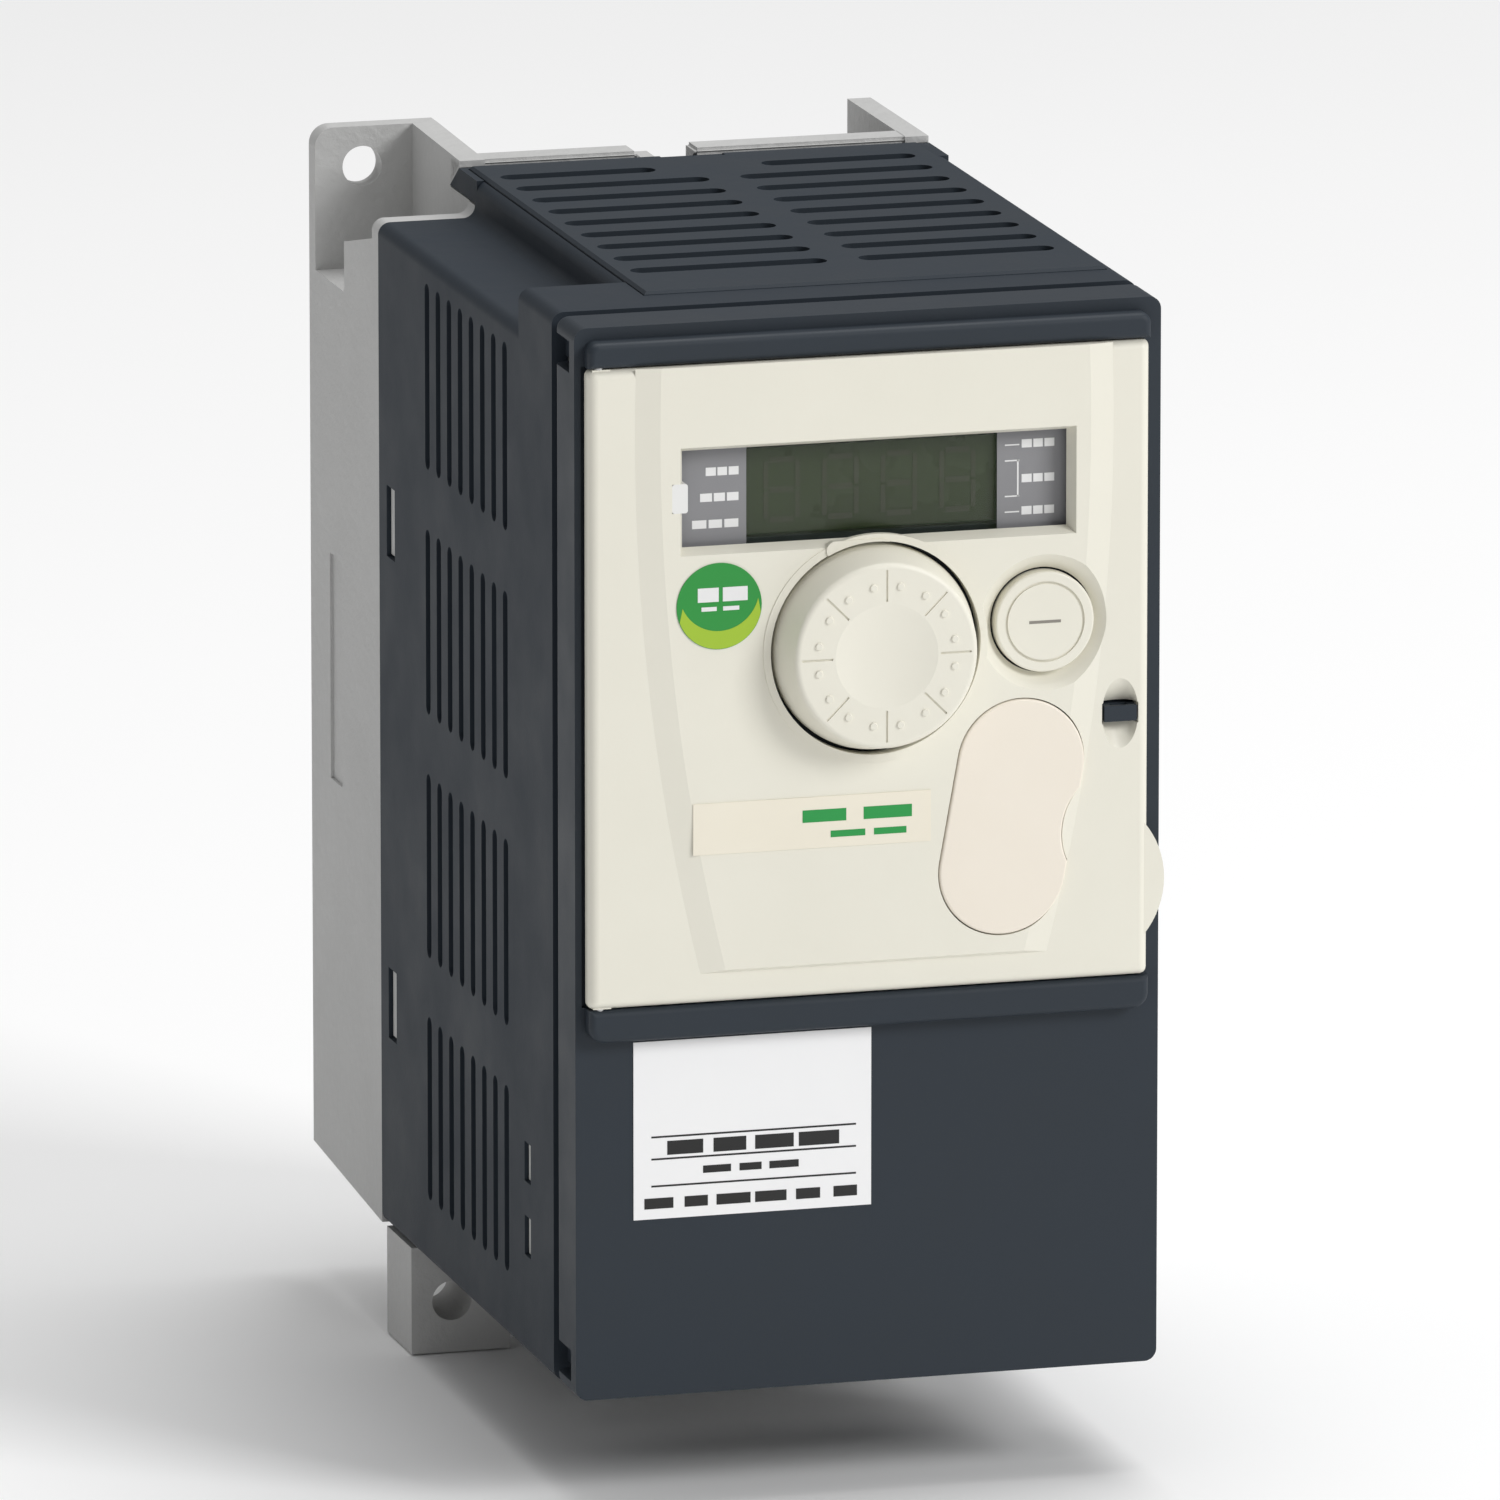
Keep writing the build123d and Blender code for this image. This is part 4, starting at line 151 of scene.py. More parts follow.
def grow(tree: bpy.types.NodeTree, values: dict[str, object]) -> bpy.types.Mesh:
    """Runs a Geometry Nodes tree and keeps what it makes as a plain mesh.

    Args:
        tree: The finished tree.
        values: A value for each of its named inputs.

    Returns:
        The mesh, with its materials.
    """
    host = bpy.data.objects.new("host", bpy.data.meshes.new("host"))
    bpy.context.scene.collection.objects.link(host)
    modifier = host.modifiers.new("tree", "NODES")
    modifier.node_group = tree
    for item in tree.interface.items_tree:
        if item.item_type == "SOCKET" and item.in_out == "INPUT":
            modifier[item.identifier] = values[item.name]
    depsgraph = bpy.context.evaluated_depsgraph_get()
    mesh = bpy.data.meshes.new_from_object(host.evaluated_get(depsgraph))
    host.modifiers.remove(modifier)
    bpy.data.objects.remove(host)
    return mesh


def join(name: str, meshes: list[bpy.types.Mesh]) -> bpy.types.Object:
    """Makes one piece of several meshes and keeps their materials.

    Args:
        name: The new object's name.
        meshes: The meshes to join.

    Returns:
        The piece, at the origin.
    """
    joined, materials = bmesh.new(), []
    for mesh in meshes:
        first = len(joined.faces)
        joined.from_mesh(mesh)
        joined.faces.ensure_lookup_table()
        for material in mesh.materials:
            if material not in materials:
                materials.append(material)
        for face in joined.faces[first:]:
            face.material_index = materials.index(mesh.materials[face.material_index])
    bmesh.ops.recalc_face_normals(joined, faces=joined.faces)
    whole = bpy.data.meshes.new(name)
    for material in materials:
        whole.materials.append(material)
    joined.to_mesh(whole)
    joined.free()
    piece = bpy.data.objects.new(name, whole)
    bpy.context.scene.collection.objects.link(piece)
    return piece


def plate(outline: list[tuple[float, float]], front: float, thick: float) -> bpy.types.Mesh:
    """A flat plate that faces the front.

    Args:
        outline: Its corners along X and Z, in metres.
        front: Y of its front face.
        thick: Its thickness.

    Returns:
        A closed mesh.
    """
    made = bmesh.new()
    face = made.faces.new([made.verts.new((x, front, z)) for x, z in outline])
    grown = bmesh.ops.extrude_face_region(made, geom=[face])
    moved = [item for item in grown["geom"] if isinstance(item, bmesh.types.BMVert)]
    bmesh.ops.translate(made, verts=moved, vec=(0, thick, 0))
    bmesh.ops.recalc_face_normals(made, faces=made.faces)
    mesh = bpy.data.meshes.new("plate")
    made.to_mesh(mesh)
    made.free()
    return mesh


# ---------------------------------------------------------------- finishes
MOTTLE = {"Detail": 4.0, "Roughness": 0.6}
GRAIN = {"Detail": 3.0, "Roughness": 0.65}
NOISE_BAND = (0.3, 0.7)  # part of a noise pattern's range that the roughness follows
STREAK_LONG = 16  # a streak's length over its width
PIT_SHARE = 0.7  # height of a sand mould's pits over its grain's
TRACK_BANDS = 5.0  # bands in one cell of the laminate's pattern
TRACK_SHARE = 0.55  # where in a band its colour changes


class Relief(Enum):
    """How a surface was formed, which sets the small relief that the light picks out."""

    SPARK_ERODED = "fine grain of a spark-eroded mould"
    SAND_CAST = "coarse grain of a sand mould"
    TURNED = "fine rings or streaks of a cutting tool"
    SMOOTH = "polished mould or printed film"
    STREAKED = "film with fine streaks along its length"
    LAMINATE = "solder mask over copper tracks"


@dataclass(frozen=True)
class Finish:
    """A material: what it is, its colours and its surface."""

    name: str
    colour: str
    shade: str
    roughness: float
    relief: Relief = Relief.SPARK_ERODED
    grain_mm: float = 0.6
    depth_mm: float = 0.02
    mottle_mm: float = 14.0
    spread: float = 0.06
    metallic: float = 0.0
    ior: float = 1.5
    coat: float = 0.0
    alpha: float = 1.0

    def material(self) -> bpy.types.Material:
        """Builds the material the first time that it is asked for.

        Returns:
            The material, shared by everything with this finish.
        """
        made = bpy.data.materials.get(self.name)
        if made is not None:
            return made
        made = bpy.data.materials.new(self.name)
        made.use_nodes = True
        tree = made.node_tree
        tree.nodes.clear()
        place = add(tree, "ShaderNodeTexCoord").outputs["Object"]
        mottle = add(
            tree,
            "ShaderNodeTexNoise",
            {"Vector": place, "Scale": 1 / (self.mottle_mm * MM), **MOTTLE},
        ).outputs["Fac"]
        height = self._height(tree, place)
        colour = self._colour(tree, place, mottle)
        rough = add(
            tree,
            "ShaderNodeMapRange",
            {
                "Value": height if self.relief is Relief.SAND_CAST else mottle,
                "From Min": NOISE_BAND[0],
                "From Max": NOISE_BAND[1],
                "To Min": max(0.02, self.roughness - self.spread),
                "To Max": min(1.0, self.roughness + self.spread),
            },
        ).outputs["Result"]
        relief = add(
            tree,
            "ShaderNodeBump",
            {"Height": height, "Strength": 1.0, "Distance": self.depth_mm * MM},
        ).outputs["Normal"]
        values = {
            "Base Color": colour,
            "Roughness": rough,
            "Normal": relief,
            "Metallic": self.metallic,
            "Alpha": self.alpha,
            "Coat Weight": self.coat,
        }
        if not self.metallic:
            values["IOR"] = self.ior
        shader = add(tree, "ShaderNodeBsdfPrincipled", values)
        add(tree, "ShaderNodeOutputMaterial", {"Surface": shader.outputs["BSDF"]})
        made.diffuse_color = srgb(self.colour)
        return made

    def _height(
        self, tree: bpy.types.NodeTree, place: bpy.types.NodeSocket
    ) -> bpy.types.NodeSocket:
        """Makes the height pattern of the surface's relief.

        Args:
            tree: The material's tree.
            place: Object coordinates.

        Returns:
            The socket that gives the height.
        """
        scale = 1 / (self.grain_mm * MM)
        if self.relief in (Relief.STREAKED, Relief.TURNED):
            # streaks run along X
            place = add(
                tree, "ShaderNodeMapping", {"Vector": place, "Scale": (1 / STREAK_LONG, 1, 1)}
            ).outputs[0]
        grain = add(
            tree,
            "ShaderNodeTexNoise",
            {"Vector": place, "Scale": scale, **GRAIN},
        ).outputs["Fac"]
        if self.relief is not Relief.SAND_CAST:
            return grain
        # a sand mould leaves pits beside its grain
        pits = add(
            tree, "ShaderNodeTexVoronoi", {"Vector": place, "Scale": scale / 2}
        ).outputs["Distance"]
        pit_height = add(tree, "ShaderNodeMath", {0: pits, 1: PIT_SHARE}, operation="MULTIPLY").outputs[0]
        return add(tree, "ShaderNodeMath", {0: grain, 1: pit_height}, operation="ADD").outputs[0]

    def _colour(
        self, tree: bpy.types.NodeTree, place: bpy.types.NodeSocket, mottle: bpy.types.NodeSocket
    ) -> bpy.types.NodeSocket:
        """Makes the colour, which wanders a little between the finish's two tones.

        Args:
            tree: The material's tree.
            place: Object coordinates.
            mottle: A slow pattern from 0 to 1.

        Returns:
            The socket that gives the colour.
        """
        share = mottle
        if self.relief is Relief.LAMINATE:
            # copper tracks show lighter under the solder mask
            edges = add(
                tree,
                "ShaderNodeTexVoronoi",
                {"Vector": place, "Scale": 1 / (self.mottle_mm * MM)},
                feature="F2",
                distance="CHEBYCHEV",
            ).outputs["Distance"]
            bands = add(tree, "ShaderNodeMath", {0: edges, 1: TRACK_BANDS}, operation="MULTIPLY").outputs[0]
            wave = add(tree, "ShaderNodeMath", {0: bands}, operation="FRACT").outputs[0]
            share = add(
                tree, "ShaderNodeMath", {0: wave, 1: TRACK_SHARE}, operation="GREATER_THAN"
            ).outputs[0]
        return add(
            tree,
            "ShaderNodeMix",
            {0: share, 6: srgb(self.shade), 7: srgb(self.colour)},
            data_type="RGBA",
        ).outputs[2]


# Sand-cast aluminium: pale grey, dull and grainy, so edges blur and no reflection is sharp.
CASTING = Finish(
    "cast_aluminium_sand", "CACAC9", "BCBCBB", 0.60, Relief.SAND_CAST, 0.8, 0.10, 20.0, 0.08, 0.35
)
# Glass-filled polyamide from a spark-eroded mould: dark slate, a soft sheen and a fine even grain.
HOUSING = Finish(
    "polyamide_slate_moulded", "2B333C", "262D35", 0.62, grain_mm=0.5, depth_mm=0.018, ior=1.33
)
# The same resin with a tighter grain, painted a little lighter so the flat roof grille shows painted light
# from above.
GRILLE_PAINTED_LIGHT = Finish(
    "polyamide_slate_grille_painted_light", "2D353E", "282F36", 0.58, grain_mm=0.45, depth_mm=0.014, ior=1.33
)
# Door in the same resin, with the smoothest of the dark surfaces.
DOOR = Finish(
    "polyamide_slate_door", "2B333C", "272E35", 0.55, grain_mm=0.45, depth_mm=0.012, ior=1.38
)
# Warm white ABS blend from a fine mould: satin, even, with hardly any mottle.
CREAM = Finish("abs_cream_moulded", "EAE7DA", "E4E1D3", 0.42, grain_mm=0.5, depth_mm=0.008)
# Separate blanking pad of the same resin, slightly pinker and streaked by its flow.
PAD = Finish("abs_blank_moulded", "F0E8DB", "EBE2D3", 0.45, Relief.STREAKED, 0.35, 0.010)
# Polyester strip, satin, with streaks from its printing roller.
STRIP = Finish("polyester_strip_printed", "EFE9D9", "EAE3D1", 0.50, Relief.STREAKED, 0.30, 0.008)
# Glossy printed vinyl: flat colour with a smooth top coat.
DOT = Finish("vinyl_green_printed", "00912C", "058A2C", 0.35, Relief.SMOOTH, 1.0, 0.003, coat=0.3)
# Lime ink over the vinyl: flat and a little duller than the green round it.
LIME = Finish("ink_lime_printed", "A4C52E", "9DBF2B", 0.40, Relief.SMOOTH, 1.0, 0.003)
# White polyester label: clean and satin, the brightest flat surface on the door.
LABEL = Finish("polyester_label_white", "F6F6F6", "F1F1F2", 0.38, Relief.SMOOTH, 1.2, 0.004)
# Screen-printed inks: flat colour with hardly any gloss, so bars read crisply.
WHITE_INK = Finish("ink_white_printed", "EDEDED", "E4E4E4", 0.55, Relief.SMOOTH, 0.5, 0.003)
BLACK_INK = Finish("ink_black_printed", "161616", "1D1D1D", 0.55, Relief.SMOOTH, 0.5, 0.003)
GREEN_INK = Finish("ink_green_printed", "1E9A46", "1A9040", 0.50, Relief.SMOOTH, 0.5, 0.003)
GREY_INK = Finish("ink_grey_printed", "8E8A80", "86827A", 0.55, Relief.SMOOTH, 0.5, 0.003)
# Smoke-tinted acrylic window: clear gloss that darkens what lies behind it.
LENS = Finish(
    "acrylic_smoke_polished", "47533B", "444F38", 0.12, Relief.SMOOTH, 3.0, 0.0, alpha=0.22
)
# Grey film beside the digits: even and matt, so the white legends stand out.
LEGEND = Finish("polyester_legend_grey", "8B8B8E", "858588", 0.50, Relief.SMOOTH, 0.8, 0.004)
# Unlit display: olive resin over the digits, faintly glossy.
DIGIT_RESIN = Finish("epoxy_olive_cast", "3F4B33", "3B4630", 0.28, Relief.SMOOTH, 2.0, 0.002)
# Unlit segments: barely lighter than the resin round them.
SEGMENT = Finish("segment_unlit_resin", "505046", "4C4C43", 0.35, Relief.SMOOTH, 2.0, 0.002)
# Milky polycarbonate light guide: pale and glossy.
GUIDE = Finish("polycarbonate_milky", "ECECEA", "E4E4E2", 0.22, Relief.SMOOTH, 2.0, 0.002)
# Clear epoxy lamps, unlit: pale and glossy.
LAMP = Finish("epoxy_clear_lamp", "B9B9A8", "AFAF9E", 0.20, Relief.SMOOTH, 2.0, 0.002)
# Glass-epoxy laminate with green solder mask: glossy, with tracks showing as lighter bands.
BOARD = Finish("laminate_green_masked", "2C7348", "1C5636", 0.30, Relief.LAMINATE, 0.4, 0.006, 6.0)
# Moulded black epoxy: near black and matt, with a fine grain.
CHIP = Finish("epoxy_black_moulded", "1B1C1E", "151618", 0.50, grain_mm=0.4, depth_mm=0.010)
# Ground steel: grey with fine streaks and a crisp sheen.
STEEL = Finish("steel_ground", "BCBCBC", "AEAEAE", 0.28, Relief.TURNED, 0.3, 0.006, metallic=1.0)
# Zinc-plated steel: a touch warmer and duller than ground steel.
ZINC = Finish(
    "steel_zinc_plated", "C6C5BF", "B5B4AE", 0.34, Relief.TURNED, 0.4, 0.006, metallic=1.0
)
# Turned brass: warm yellow with fine streaks.
BRASS = Finish("brass_turned", "B99A55", "A98B4A", 0.30, Relief.TURNED, 0.3, 0.006, metallic=1.0)
# Tinned steel: soft, even grey shine.
TIN = Finish("steel_tinned", "B4B6B8", "A3A5A7", 0.32, Relief.SMOOTH, 1.5, 0.006, metallic=1.0)
# Light grey polycarbonate: plain satin, paler than the boards.
CARRIER = Finish(
    "polycarbonate_grey_moulded", "CACBC7", "C1C2BE", 0.48, grain_mm=0.5, depth_mm=0.014
)
# Terminal resins, green and black: satin with a fine grain.
GREEN_BLOCK = Finish(
    "polyamide_green_moulded", "3E7A54", "376F4C", 0.46, grain_mm=0.4, depth_mm=0.010
)
BLACK_BLOCK = Finish(
    "polyamide_black_moulded", "232528", "1D1F22", 0.46, grain_mm=0.4, depth_mm=0.010
)
# Shrunk sleeve over a can: dark, tight and glossy.
SLEEVE = Finish("pvc_sleeve_shrunk", "222833", "1D222B", 0.26, Relief.SMOOTH, 3.0, 0.010, coat=0.2)
# Drawn aluminium: bright, with faint drawing lines.
CAN = Finish(
    "aluminium_can_drawn", "C9CACC", "BBBCBE", 0.30, Relief.TURNED, 0.4, 0.006, metallic=1.0
)
# Enamelled copper wire: deep orange-brown gloss.
COPPER = Finish(
    "copper_enamelled_wound", "A9602F", "964F24", 0.28, Relief.TURNED, 0.3, 0.004, metallic=1.0
)
# Lacquered ferrite: dull grey-green and slightly gritty.
FERRITE = Finish("ferrite_lacquered", "3A4A3F", "344238", 0.45, grain_mm=0.6, depth_mm=0.012)
# Film capacitor boxes: smooth mustard epoxy.
FILM_BOX = Finish("epoxy_film_capacitor", "C8A63A", "BD9B33", 0.34, Relief.SMOOTH, 1.5, 0.008)
# Relay case: smooth charcoal, faintly glossy.
RELAY_CASE = Finish("polyester_relay_case", "2A2D32", "25282C", 0.34, Relief.SMOOTH, 1.5, 0.006)
# Winding tape: yellow film with streaks along its length.
TAPE = Finish("polyester_tape_wound", "D9B44A", "CCA740", 0.36, Relief.STREAKED, 0.5, 0.012)
# Fired ceramic chips: small tan and grey blocks.
CERAMIC = Finish("ceramic_chip_fired", "8B7358", "6F6A62", 0.42, Relief.SMOOTH, 0.6, 0.004)
# Studio sweep: matt white with no visible grain.
PAPER = Finish(
    "studio_sweep_white", "FBFBFB", "FAFAFA", 0.90, Relief.SMOOTH, 5.0, 0.002, mottle_mm=400.0
)


# ---------------------------------------------------------------- trees for what repeats
WORD_SHARE = (0.62, 0.92)  # shortest and longest bar, as shares of a word's pitch
PART_SHARE = 0.68  # share of a board's places that hold a part


def bars_tree() -> bpy.types.NodeTree:
    """A printed row: bars of uneven length that stand for words, spaced evenly along X.

    Returns:
        The finished tree.
    """
    sizes = {"Start": "Vector", "Long": "Float", "High": "Float", "Film": "Float"}
    sizes |= {"Words": "Int", "Seed": "Int", "Ink": "Material"}
    tree, given = geometry_tree("printed_row", sizes)
    out = given.outputs
    pitch = add(
        tree, "ShaderNodeMath", {0: out["Long"], 1: out["Words"]}, operation="DIVIDE"
    ).outputs[0]
    step = add(tree, "ShaderNodeCombineXYZ", {"X": pitch}).outputs[0]
    half = add(
        tree, "ShaderNodeVectorMath", {0: step, 1: (0.5, 0.5, 0.5)}, operation="MULTIPLY"
    ).outputs[0]
    first = add(
        tree, "ShaderNodeVectorMath", {0: out["Start"], 1: half}, operation="ADD"
    ).outputs[0]
    line = add(
        tree,
        "GeometryNodeMeshLine",
        {"Count": out["Words"], "Start Location": first, "Offset": step},
    ).outputs["Mesh"]
    share = add(
        tree,
        "FunctionNodeRandomValue",
        {"Min": WORD_SHARE[0], "Max": WORD_SHARE[1], "Seed": out["Seed"]},
        data_type="FLOAT",
    )
    wide = add(
        tree, "ShaderNodeMath", {0: share.outputs["Value"], 1: pitch}, operation="MULTIPLY"
    ).outputs[0]
    size = add(
        tree, "ShaderNodeCombineXYZ", {"X": wide, "Y": out["Film"], "Z": out["High"]}
    ).outputs[0]
    bar = add(tree, "GeometryNodeMeshCube", {"Size": (1, 1, 1)}).outputs["Mesh"]
    row = add(
        tree, "GeometryNodeInstanceOnPoints", {"Points": line, "Instance": bar, "Scale": size}
    ).outputs[0]
    return close_tree(tree, row, out["Ink"])


def digits_tree() -> bpy.types.NodeTree:
    """Unlit seven-segment digits: three level bars and four upright ones, repeated along X.

    Returns:
        The finished tree.
    """
    sizes = {"First": "Vector", "Pitch": "Vector", "Wide": "Float", "High": "Float", "Bar": "Float"}
    sizes |= {"Count": "Int", "Film": "Float", "Resin": "Material"}
    tree, given = geometry_tree("seven_segments", sizes)
    out = given.outputs
    half_high = add(
        tree, "ShaderNodeMath", {0: out["High"], 1: 0.5}, operation="MULTIPLY"
    ).outputs[0]
    level_step = add(tree, "ShaderNodeCombineXYZ", {"Z": half_high}).outputs[0]
    foot = add(
        tree, "ShaderNodeVectorMath", {0: level_step, 1: (-1, -1, -1)}, operation="MULTIPLY"
    ).outputs[0]
    levels = add(
        tree, "GeometryNodeMeshLine", {"Count": 3, "Start Location": foot, "Offset": level_step}
    ).outputs["Mesh"]
    uprights = add(
        tree,
        "GeometryNodeMeshGrid",
        {"Size X": out["Wide"], "Size Y": half_high, "Vertices X": 2, "Vertices Y": 2},
    ).outputs["Mesh"]
    uprights = add(
        tree, "GeometryNodeTransform", {"Geometry": uprights, "Rotation": (math.pi / 2, 0, 0)}
    ).outputs[0]
    bar = add(tree, "GeometryNodeMeshCube", {"Size": (1, 1, 1)}).outputs["Mesh"]
    level_size = add(
        tree, "ShaderNodeCombineXYZ", {"X": out["Wide"], "Y": out["Film"], "Z": out["Bar"]}
    )
    upright_size = add(
        tree, "ShaderNodeCombineXYZ", {"X": out["Bar"], "Y": out["Film"], "Z": half_high}
    )
    shorter = (0.76, 1.0, 0.9)
    bars = []
    for points, size in ((levels, level_size), (uprights, upright_size)):
        cut = add(
            tree, "ShaderNodeVectorMath", {0: size.outputs[0], 1: shorter}, operation="MULTIPLY"
        ).outputs[0]
        row = add(
            tree, "GeometryNodeInstanceOnPoints", {"Points": points, "Instance": bar, "Scale": cut}
        )
        bars.append(row.outputs[0])
    digit = add(tree, "GeometryNodeJoinGeometry")
    for part in bars:
        tree.links.new(part, digit.inputs[0])
    places = add(
        tree,
        "GeometryNodeMeshLine",
        {"Count": out["Count"], "Start Location": out["First"], "Offset": out["Pitch"]},
    ).outputs["Mesh"]
    row = add(
        tree, "GeometryNodeInstanceOnPoints", {"Points": places, "Instance": digit.outputs[0]}
    ).outputs[0]
    return close_tree(tree, row, out["Resin"])


def chips_tree() -> bpy.types.NodeTree:
    """Small ceramic parts with tinned ends, scattered on a grid of places on a board.

    Returns:
        The finished tree.
    """
    sizes = {"Middle": "Vector", "Wide": "Float", "High": "Float", "Columns": "Int", "Rows": "Int"}
    sizes |= {"Part": "Vector", "Seed": "Int", "Body": "Material", "Ends": "Material"}
    tree, given = geometry_tree("board_parts", sizes)
    out = given.outputs
    grid = add(
        tree,
        "GeometryNodeMeshGrid",
        {
            "Size X": out["Wide"],
            "Size Y": out["High"],
            "Vertices X": out["Columns"],
            "Vertices Y": out["Rows"],
        },
    ).outputs["Mesh"]
    placed = add(
        tree,
        "GeometryNodeTransform",
        {"Geometry": grid, "Rotation": (math.pi / 2, 0, 0), "Translation": out["Middle"]},
    ).outputs[0]
    kept = add(
        tree,
        "FunctionNodeRandomValue",
        {"Probability": PART_SHARE, "Seed": out["Seed"]},
        data_type="BOOLEAN",
    ).outputs["Value"]
    body = add(tree, "GeometryNodeMeshCube", {"Size": out["Part"]}).outputs["Mesh"]
    body = add(
        tree, "GeometryNodeSetMaterial", {"Geometry": body, "Material": out["Body"]}
    ).outputs[0]
    end_size = add(
        tree, "ShaderNodeVectorMath", {0: out["Part"], 1: (0.22, 1.06, 1.06)}, operation="MULTIPLY"
    ).outputs[0]
    part = add(tree, "GeometryNodeJoinGeometry")
    tree.links.new(body, part.inputs[0])
    for side in (-0.42, 0.42):
        shift = add(
            tree, "ShaderNodeVectorMath", {0: out["Part"], 1: (side, 0, 0)}, operation="MULTIPLY"
        ).outputs[0]
        end = add(tree, "GeometryNodeMeshCube", {"Size": end_size}).outputs["Mesh"]
        end = add(tree, "GeometryNodeTransform", {"Geometry": end, "Translation": shift}).outputs[0]
        end = add(
            tree, "GeometryNodeSetMaterial", {"Geometry": end, "Material": out["Ends"]}
        ).outputs[0]
        tree.links.new(end, part.inputs[0])
    quarter = add(
        tree, "FunctionNodeRandomValue", {"Min": 0, "Max": 1, "Seed": out["Seed"]}, data_type="INT"
    ).outputs["Value"]
    turn = add(
        tree, "ShaderNodeMath", {0: quarter, 1: math.pi / 2}, operation="MULTIPLY"
    ).outputs[0]
    turned = add(tree, "ShaderNodeCombineXYZ", {"Y": turn}).outputs[0]
    scattered = add(
        tree,
        "GeometryNodeInstanceOnPoints",
        {"Points": placed, "Selection": kept, "Instance": part.outputs[0], "Rotation": turned},
    ).outputs[0]
    return close_tree(tree, scattered)


def legs_tree() -> bpy.types.NodeTree:
    """Two rows of tinned legs, one along each side of a chip.

    Returns:
        The finished tree.
    """
    sizes = {"Middle": "Vector", "Across": "Vector", "Along": "Vector", "Count": "Int"}
    sizes |= {"Leg": "Vector", "Tin": "Material"}
    tree, given = geometry_tree("chip_legs", sizes)
    out = given.outputs
    leg = add(tree, "GeometryNodeMeshCube", {"Size": out["Leg"]}).outputs["Mesh"]
    last = add(tree, "ShaderNodeMath", {0: out["Count"], 1: 1.0}, operation="SUBTRACT").outputs[0]
    half_count = add(tree, "ShaderNodeMath", {0: last, 1: -0.5}, operation="MULTIPLY").outputs[0]
    back = add(
        tree, "ShaderNodeVectorMath", {0: out["Along"], "Scale": half_count}, operation="SCALE"
    ).outputs[0]
    both = add(tree, "GeometryNodeJoinGeometry")
    for side in (-1.0, 1.0):
        out_by = add(
            tree, "ShaderNodeVectorMath", {0: out["Across"], "Scale": side}, operation="SCALE"
        ).outputs[0]
        edge = add(
            tree, "ShaderNodeVectorMath", {0: out["Middle"], 1: out_by}, operation="ADD"
        ).outputs[0]
        first = add(tree, "ShaderNodeVectorMath", {0: edge, 1: back}, operation="ADD").outputs[0]
        line = add(
            tree,
            "GeometryNodeMeshLine",
            {"Count": out["Count"], "Start Location": first, "Offset": out["Along"]},
        ).outputs["Mesh"]
        tree.links.new(line, both.inputs[0])
    row = add(
        tree, "GeometryNodeInstanceOnPoints", {"Points": both.outputs[0], "Instance": leg}
    ).outputs[0]
    return close_tree(tree, row, out["Tin"])


